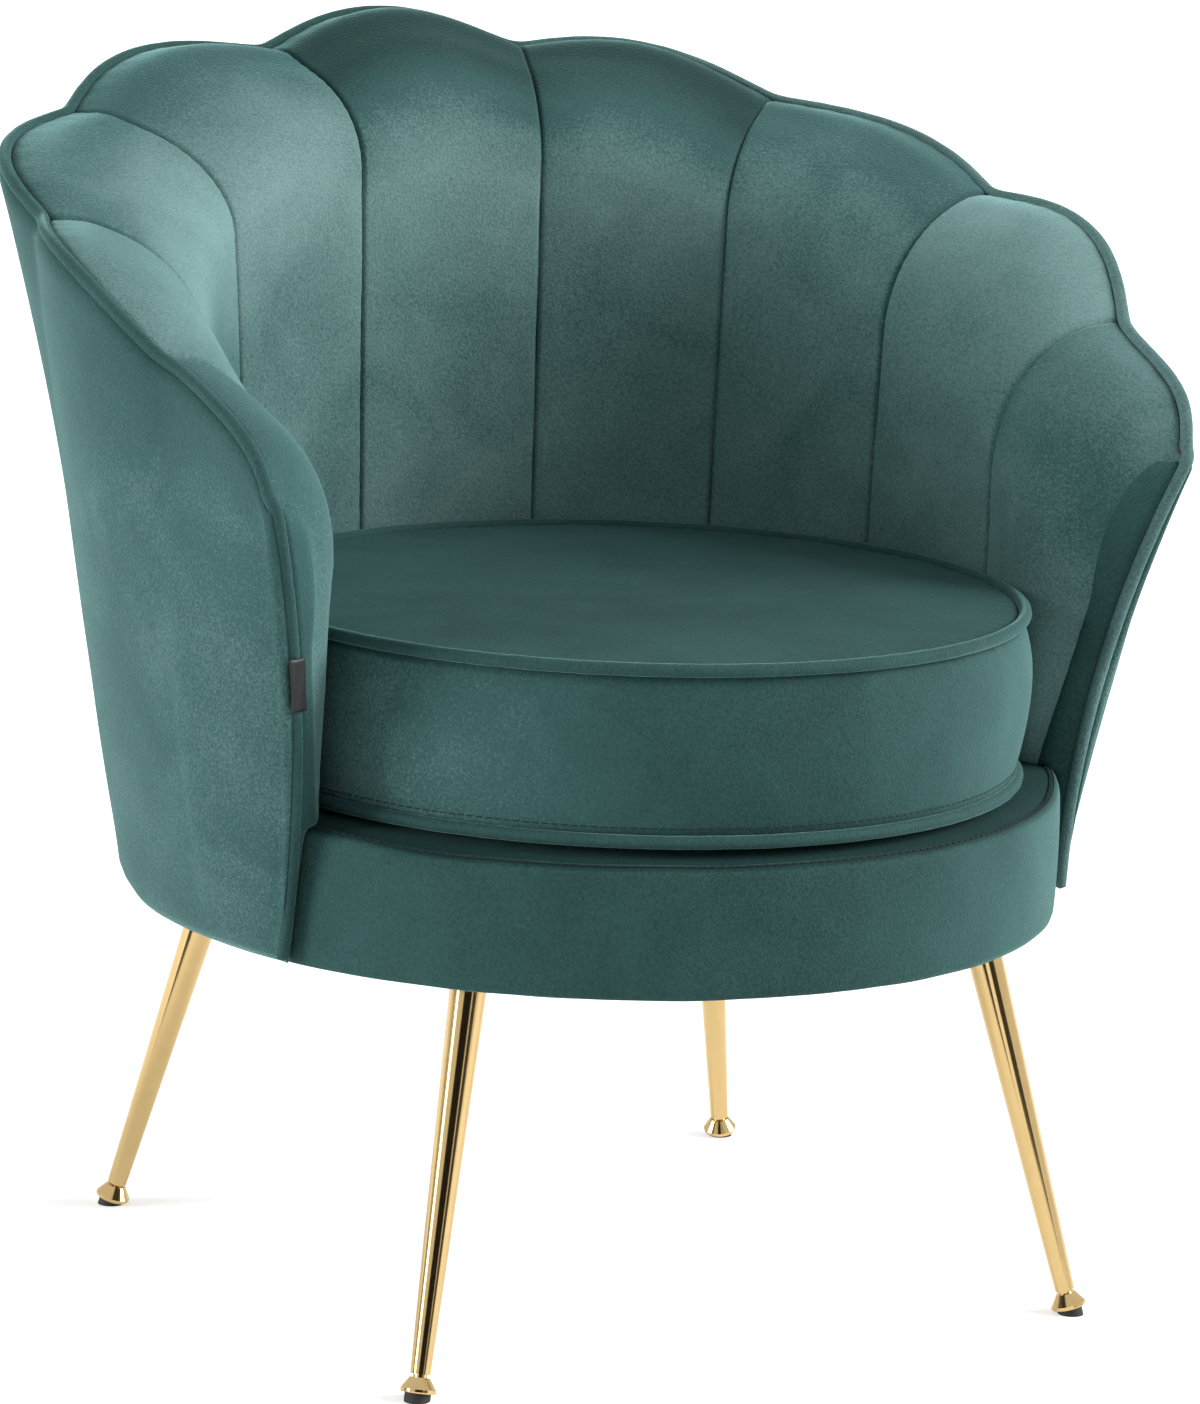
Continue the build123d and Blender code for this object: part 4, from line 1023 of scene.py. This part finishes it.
def swell(scene, piece, sewn, reach):
    """Blows the padding up against its seams by a short cloth simulation; reach caps each point's move."""
    start = points_of(piece)
    group = piece.vertex_groups.new(name="sewn")
    group.add([int(k) for k in np.nonzero(sewn)[0]], 1.0, "REPLACE")
    cloth = piece.modifiers.new("swell", "CLOTH")
    cloth.settings.use_pressure = True
    cloth.settings.uniform_pressure_force = SWELL_PRESSURE
    cloth.settings.effector_weights.gravity = 0.0
    cloth.settings.vertex_group_mass = group.name
    cloth.point_cache.frame_start = 1
    cloth.point_cache.frame_end = SWELL_FRAMES
    for step in range(1, SWELL_FRAMES + 1):
        scene.frame_set(step)
    apply_modifiers(piece)
    scene.frame_set(1)
    moved = points_of(piece) - start
    far = np.linalg.norm(moved, axis=1)
    set_points(piece, start + moved * np.minimum(1.0, reach / np.maximum(far, 1e-9))[:, None])
    piece.vertex_groups.clear()


class ARMCHAIR_OT_cushion(bpy.types.Operator):
    """Builds the loose round cushion with its piping, stitching and zip"""

    bl_idname = "armchair.cushion"
    bl_label = "Cushion"

    def execute(self, context):
        sizes = context.scene.armchair_cushion
        finish = context.scene.armchair_finish
        velvet = velvet_material("teal_velvet", finish)
        corded = velvet_material("teal_velvet_piping", finish, PIPING_SHADE)
        # the seat's pile is pressed flat by use, so it blooms less
        seat = velvet_material("teal_velvet_seat", finish, sheen=FLAT_SHEEN)
        crown = sizes.crown * 1000
        outline = cushion_profile(0.5 * crown)
        rings = []
        for r, z in outline:
            up = clamped((z - CUSHION_LOW - 10.0) / (CUSHION_SEAM - CUSHION_LOW - 13.0))
            ring = []
            for a in np.linspace(0, 2 * pi, 180, endpoint=False):
                # 1 on the free front between the arms, 0 beside them and at the rear
                free = clamped((abs(degrees(a) - 180.0) - 80.0) / -22.0)
                out = r + CUSHION_BULGE * free * free * (3 - 2 * free) * sin(pi * up**1.35) ** 0.8
                ring.append(around(out, a, z, CUSHION_Y))
            rings.append(ring)
        verts, faces = round_plate(rings, [around(0.0, 0.0, z, CUSHION_Y) for _, z in (outline[0], outline[-1])])
        piece = add_piece("cushion_velvet", verts, faces, velvet, "cushion",
                          ["cushion_top", "cushion_boxing", "cushion_bottom", "cushion_foam"])
        self.fill(context.scene, piece, crown)
        self.gather(piece)
        self.paint_light_and_seat(piece, seat)
        cord = CUSHION_RADIUS - PIPING
        for label, z, node in (("top", CUSHION_SEAM, "cushion_piping_top"),
                               ("bottom", CUSHION_LOW + CUSHION_LIFT + PIPING + 0.1, "cushion_piping_bottom")):
            ring = [around(cord, a, z, CUSHION_Y) for a in np.linspace(0, 2 * pi, 360, endpoint=False)]
            v, f = tube(ring, sizes.piping, sides=14, closed=True)
            welt = add_piece(f"cushion_welt_{label}", v, f, corded, "cushion", [node],
                             painted_light=np.full(len(v), 0.34))
            roughen(welt, height=0.0002, size=0.012, seed=31.0)
        self.stitches(piece, sizes.stitch)
        self.zip_tape()
        return {"FINISHED"}

    def round_places(self, piece):
        """Distance from the cushion's axis, height and angle from its rear, for every point."""
        places = points_of(piece)
        x, y = places[:, 0] * 1000, places[:, 1] * 1000 - AXIS_Y - CUSHION_Y
        return np.hypot(x, y), places[:, 2] * 1000, np.degrees(np.arctan2(x, y))

    def fill(self, scene, piece, crown):
        """Swells the top and sides; the seams hold, and the bottom stays flat on the deck."""
        even_mesh(piece, size=0.005)
        r, z, turn = self.round_places(piece)
        cord = CUSHION_RADIUS - PIPING
        sewn = (np.hypot(r - cord, z - CUSHION_SEAM) < 9.0) | (z < CUSHION_LOW + CUSHION_LIFT + 9.0)
        top = z > CUSHION_SEAM - 2.0
        side = np.where(np.abs(turn) < 55.0, 0.2, 1.3)
        reach = np.where(top, 0.55 * crown * np.sqrt(np.maximum(1 - (r / cord) ** 2, 0.0)), side)
        reach[sewn] = 0.0
        swell(scene, piece, sewn, reach * MM)
        soft = piece.modifiers.new("soft", "SUBSURF")
        soft.levels = soft.render_levels = 1
        apply_modifiers(piece)

    def gather(self, piece):
        """Small radial puckers beside the piping, and the soft unevenness of a filled cover."""
        r, z, turn = self.round_places(piece)
        places = points_of(piece)
        panel = CUSHION_RADIUS - 2 * PIPING
        top = z > CUSHION_SEAM + 1.0
        near = np.exp(-np.maximum(panel - r, 0.0) / 9.0)
        pucker = 0.45 * near * np.sin(np.radians(turn) * 97.0) * np.sin(np.radians(turn) * 11.0 + 0.7) ** 2
        places[:, 2] += np.where(top, pucker, 0.0) * MM
        set_points(piece, places)
        roughen(piece, height=0.0007, size=0.05, seed=21.0, amount=lambda co: 1.0 if co.z > CUSHION_FLAT * MM else 0.0)

    def paint_light_and_seat(self, piece, seat):
        """Paints light towards the two ends of the side and shade on the top panel, and gives the top panel the
        flat-sheen material.
        """
        mesh = piece.data
        r, z, turn = self.round_places(piece)
        # the top panel, with the edge that turns down beside its piping
        top = (z > CUSHION_SEAM - 8.0) & (r < CUSHION_RADIUS - PIPING)
        # painted light towards both ends of the side, most at +x where the right-hand lamp falls, and painted shade on
        # the top panel, lightening towards its edge
        across = np.sin(np.radians(turn))
        across = across * np.abs(across) ** 0.5
        side = 0.22 + np.where(across > 0, 0.44, -0.38) * across
        cushion_painted_tone = np.where(top, 0.15 + 0.10 * np.clip((r - 120.0) / 120.0, 0, 1), side)
        mesh.attributes.new("painted_light", "FLOAT", "POINT").data.foreach_set("value", cushion_painted_tone.astype(np.float32))
        mesh.materials.append(seat)
        for polygon in mesh.polygons:
            polygon.material_index = 1 if all(top[k] for k in polygon.vertices) else 0
            polygon.use_smooth = True

    def stitches(self, piece, length):
        """Row of stitches just above the lower piping."""
        line = []
        height = CUSHION_LOW + CUSHION_LIFT + 2 * PIPING + 2.4
        for a in np.linspace(0, 2 * pi, 720, endpoint=False):
            found, on, *_ = piece.closest_point_on_mesh(around(CUSHION_RADIUS, a, height, AXIS_Y + CUSHION_Y))
            if not found:
                raise RuntimeError("the cushion has no side to stitch")
            line.append((on.x, on.y - AXIS_Y * MM, on.z))
        stitch_row("cushion_stitches", line, length, "cushion")

    def zip_tape(self):
        """Zip along the rear of the boxing: woven tape with two rows of moulded teeth."""
        # woven tape in the velvet's own shade, with a fine rib drawn at 1 mm so that it shows
        tape = plain_material("woven_zip_tape", srgb("#23403f"), roughness=0.7, grain=0.001, contrast=0.3, bump=0.3)
        front, back = [], []
        for h in np.linspace(-ZIP_TAPE, ZIP_TAPE, 9):
            bow = 0.12 * cos(h / ZIP_TAPE * 0.5 * pi)
            for layer, r in ((front, ZIP_RADIUS + 0.3 + bow), (back, ZIP_RADIUS)):
                layer.append([around(r, a, ZIP_HEIGHT + h, CUSHION_Y)
                              for a in np.radians(np.linspace(-ZIP_SPREAD, ZIP_SPREAD, 181))])
        verts, faces = closed_pad(np.array(front), np.array(back))
        verts = [tuple(v) for v in verts]
        pitch = degrees(TOOTH_PITCH / ZIP_RADIUS)
        for row, shift in ((-1, 0.0), (1, 0.5)):
            for k in range(int(2 * (ZIP_SPREAD - 3.0) / pitch)):
                middle = radians(-ZIP_SPREAD + 2.0 + (k + shift) * pitch)
                first = len(verts)
                for r, grow in ((ZIP_RADIUS + 0.25, 1.0), (ZIP_RADIUS + 0.68, 0.7)):
                    for du, dv in ((-1, -1), (1, -1), (1, 1), (-1, 1)):
                        a = middle + du * grow * 0.55 / ZIP_RADIUS
                        h = row * 0.9 + dv * grow * 1.15
                        verts.append(around(r, a, ZIP_HEIGHT + h, CUSHION_Y))
                faces += [tuple(first + v for v in f) for f in
                          ((4, 5, 6, 7), (0, 1, 5, 4), (1, 2, 6, 5), (2, 3, 7, 6), (3, 0, 4, 7), (3, 2, 1, 0))]
        add_piece("cushion_zip_tape", verts, faces, tape, "cushion", ["cushion_zip"])


# ---------------------------------------------------------------------------
# Small pieces and finishes of the CAD nodes
# ---------------------------------------------------------------------------


class ARMCHAIR_OT_tab(bpy.types.Operator):
    """Builds the plain ribbon tab on one arm's piping"""

    bl_idname = "armchair.tab"
    bl_label = "Ribbon tab"

    def execute(self, context):
        # woven black ribbon with a soft gloss and a faint rib, drawn at 1.2 mm so that it shows
        ribbon = plain_material("black_ribbon", srgb("#17181a"), roughness=0.55, grain=0.0012, contrast=0.4, bump=0.3)
        sec = section(ARM_CHANNEL, 1.0, context.scene.armchair_shell.fullness)
        rows, cols = 18, 9
        front, back = [], []
        for i in range(rows):
            z = TAB_LOW + TAB_SIZE[1] * i / (rows - 1)
            line, deep = [], []
            for j in range(cols):
                t = j / (cols - 1)
                r = front_line(z) - TAB_INSET + TAB_SIZE[0] * t
                ahead = 2 * PIPING + 1.0 + 0.4 * sin(pi * t) + 0.2 * sin(9 * t + z * 0.2)
                line.append(place(sec, r, z, ahead + TAB_HALF))
                deep.append(place(sec, r, z, ahead - TAB_HALF))
            front.append(line)
            back.append(deep)
        verts, faces = closed_pad(mirrored(np.array(front)), mirrored(np.array(back)))
        piece = add_piece("ribbon_tab", verts, faces, ribbon, "chair", ["side_tab"])
        return {"FINISHED"}


class ARMCHAIR_OT_finishes(bpy.types.Operator):
    """Gives each CAD node that shows its material"""

    bl_idname = "armchair.finishes"
    bl_label = "Finishes"

    def execute(self, context):
        finish = context.scene.armchair_finish
        brass = brass_material(finish)
        # soft black pad with a dull skin
        rubber = plain_material("black_rubber", srgb("#141414"), roughness=0.75, grain=0.002, contrast=0.2, bump=0.1)
        # bright zinc on screws, springs and nuts
        zinc = plain_material("bright_zinc", srgb("#b9bcbf"), roughness=0.32, metallic=1.0, grain=0.004, contrast=0.08)
        # pale birch face with long grain
        ply = plain_material("birch_plywood", srgb("#c9a878"), roughness=0.6,
                             grain=0.02, contrast=0.18, stretch=(1, 1, 0.08))
        # pine boards with broad, stronger grain along their length
        pine = plain_material("sawn_pine", srgb("#d0a468"), roughness=0.6,
                              grain=0.018, contrast=0.25, stretch=(0.08, 1, 1))
        # matted grey felt, quite dull
        felt = plain_material("grey_felt", srgb("#77756f"), roughness=0.95, grain=0.003, contrast=0.3, bump=0.4)
        by_slot = {"brass_plate": brass, "rubber": rubber, "zinc_steel": zinc, "plywood": ply, "pine": pine,
                   "felt": felt}
        slots = {entry["node"]: entry["material_slot"] for entry in frame["record"]["subparts"]}
        for name, piece in frame["nodes"].items():
            if piece.hide_render:
                continue
            material = by_slot.get(slots.get(name))
            if material is None:
                raise RuntimeError(f"{name} has no finish for slot {slots.get(name)}")
            piece.data.materials.clear()
            piece.data.materials.append(material)
        return {"FINISHED"}


# ---------------------------------------------------------------------------
# Stage
# ---------------------------------------------------------------------------


def aim(thing, at, target):
    """Places a light and turns it to a point."""
    thing.location = at
    thing.rotation_euler = (Vector(target) - Vector(at)).to_track_quat("-Z", "Y").to_euler()


def looked_at(tree):
    """1 for camera, glossy and transmission rays, 0 for the light that falls on the chair."""
    path = add_node(tree, "ShaderNodeLightPath").outputs
    seen = add_node(tree, "ShaderNodeMath", {0: path["Is Camera Ray"], 1: path["Is Glossy Ray"]},
                    operation="MAXIMUM").outputs[0]
    return add_node(tree, "ShaderNodeMath", {0: seen, 1: path["Is Transmission Ray"]}, operation="MAXIMUM").outputs[0]


class ARMCHAIR_OT_stage(bpy.types.Operator):
    """Builds the floor, lights, flags and camera"""

    bl_idname = "armchair.stage"
    bl_label = "Stage"

    def execute(self, context):
        scene = context.scene
        stage = scene.armchair_stage
        scene.view_settings.view_transform = "Standard"
        far = FLOOR_REACH
        floor = self.card(scene, "studio_floor", [(-far, -far, 0), (far, -far, 0), (far, far, 0), (-far, far, 0)])
        # matt white paper, raised to white where it is looked at; the chair's shadow stays on it
        paper = plain_material("floor_paper", tuple(stage.floor), roughness=0.9, grain=0.4, contrast=0.01)
        shader = paper.node_tree.nodes["Principled BSDF"]
        shader.inputs["Emission Color"].default_value = (1, 1, 1, 1)
        lift = add_node(paper.node_tree, "ShaderNodeMath", {0: looked_at(paper.node_tree), 1: FLOOR_LIFT},
                        operation="MULTIPLY")
        paper.node_tree.links.new(lift.outputs[0], shader.inputs["Emission Strength"])
        floor.data.materials.append(paper)
        world = bpy.data.worlds.new("studio")
        scene.world = world
        world.use_nodes = True
        sky = world.node_tree.nodes["Background"]
        sky.inputs["Color"].default_value = (1, 1, 1, 1)
        level = add_node(world.node_tree, "ShaderNodeMath",
                         {0: looked_at(world.node_tree), 1: 1.0 - stage.fill, 2: stage.fill}, operation="MULTIPLY_ADD")
        world.node_tree.links.new(level.outputs[0], sky.inputs["Strength"])
        for name, at, share, angle in KEY_LIGHTS:
            lamp = bpy.data.lights.new(name, "SUN")
            lamp.energy = stage.key * share
            lamp.angle = radians(angle)
            lamp.color = KEY_COLOUR
            light = bpy.data.objects.new(name, lamp)
            scene.collection.objects.link(light)
            aim(light, at, LIT_POINT)
        self.flags(scene)
        camera = bpy.data.objects.new("photo_camera", bpy.data.cameras.new("photo_camera"))
        scene.collection.objects.link(camera)
        turn = Matrix((CAMERA_RIGHT, CAMERA_UP, [-v for v in CAMERA_VIEW])).transposed().to_4x4()
        camera.matrix_world = Matrix.Translation(CAMERA_AT) @ turn
        camera.data.lens = CAMERA_LENS
        camera.data.sensor_width = CAMERA_SENSOR
        camera.data.sensor_fit = "AUTO"
        camera.data.clip_end = 200.0
        camera.data.dof.use_dof = False
        scene.camera = camera
        return {"FINISHED"}

    def card(self, scene, name, corners):
        """A flat four-cornered piece of the stage."""
        mesh = bpy.data.meshes.new(name)
        mesh.from_pydata(corners, [], [(0, 1, 2, 3)])
        made = bpy.data.objects.new(name, mesh)
        scene.collection.objects.link(made)
        return made

    def flags(self, scene):
        """Dark cards that only reflections see: they draw the dark bands on the polished legs."""
        # dull black card
        dark = plain_material("black_flag", srgb("#1a1510"), roughness=0.95, grain=0.2, contrast=0.1)
        for number, (x1, y1, x2, y2) in enumerate(FLAGS):
            card = self.card(scene, f"flag_{number}", [(x1, y1, FLAG_LOW), (x2, y2, FLAG_LOW), (x2, y2, FLAG_HIGH),
                                                       (x1, y1, FLAG_HIGH)])
            card.data.materials.append(dark)
            card.visible_camera = False
            card.visible_diffuse = False
            card.visible_shadow = False


class ARMCHAIR_PT_panel(bpy.types.Panel):
    bl_idname = "ARMCHAIR_PT_panel"
    bl_label = "Velvet tub armchair"
    bl_space_type = "VIEW_3D"
    bl_region_type = "UI"
    bl_category = "Armchair"

    def draw(self, context):
        layout = self.layout
        scene = context.scene
        for title, group in (("Shell", scene.armchair_shell), ("Cushion", scene.armchair_cushion),
                             ("Finish", scene.armchair_finish), ("Stage", scene.armchair_stage)):
            box = layout.box()
            box.label(text=title)
            for name in group.__annotations__:
                box.prop(group, name)
        for operator in OPERATORS:
            layout.operator(operator.bl_idname)


GROUPS = (("armchair_shell", ArmchairShell), ("armchair_cushion", ArmchairCushion),
          ("armchair_finish", ArmchairFinish), ("armchair_stage", ArmchairStage))
OPERATORS = (ARMCHAIR_OT_channels, ARMCHAIR_OT_outer_cover, ARMCHAIR_OT_piping, ARMCHAIR_OT_base,
             ARMCHAIR_OT_cushion, ARMCHAIR_OT_tab, ARMCHAIR_OT_finishes, ARMCHAIR_OT_stage)


def register():
    for name, group in GROUPS:
        bpy.utils.register_class(group)
        setattr(bpy.types.Scene, name, PointerProperty(type=group))
    for kind in OPERATORS + (ARMCHAIR_PT_panel,):
        bpy.utils.register_class(kind)


def unregister():
    for kind in reversed(OPERATORS + (ARMCHAIR_PT_panel,)):
        bpy.utils.unregister_class(kind)
    for name, group in reversed(GROUPS):
        delattr(bpy.types.Scene, name)
        bpy.utils.unregister_class(group)


def main():
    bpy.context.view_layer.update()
    register()
    bpy.ops.armchair.channels()
    bpy.ops.armchair.outer_cover()
    bpy.ops.armchair.piping()
    bpy.ops.armchair.base()
    bpy.ops.armchair.cushion()
    bpy.ops.armchair.tab()
    bpy.ops.armchair.finishes()
    bpy.ops.armchair.stage()


if __name__ == "__main__":
    main()
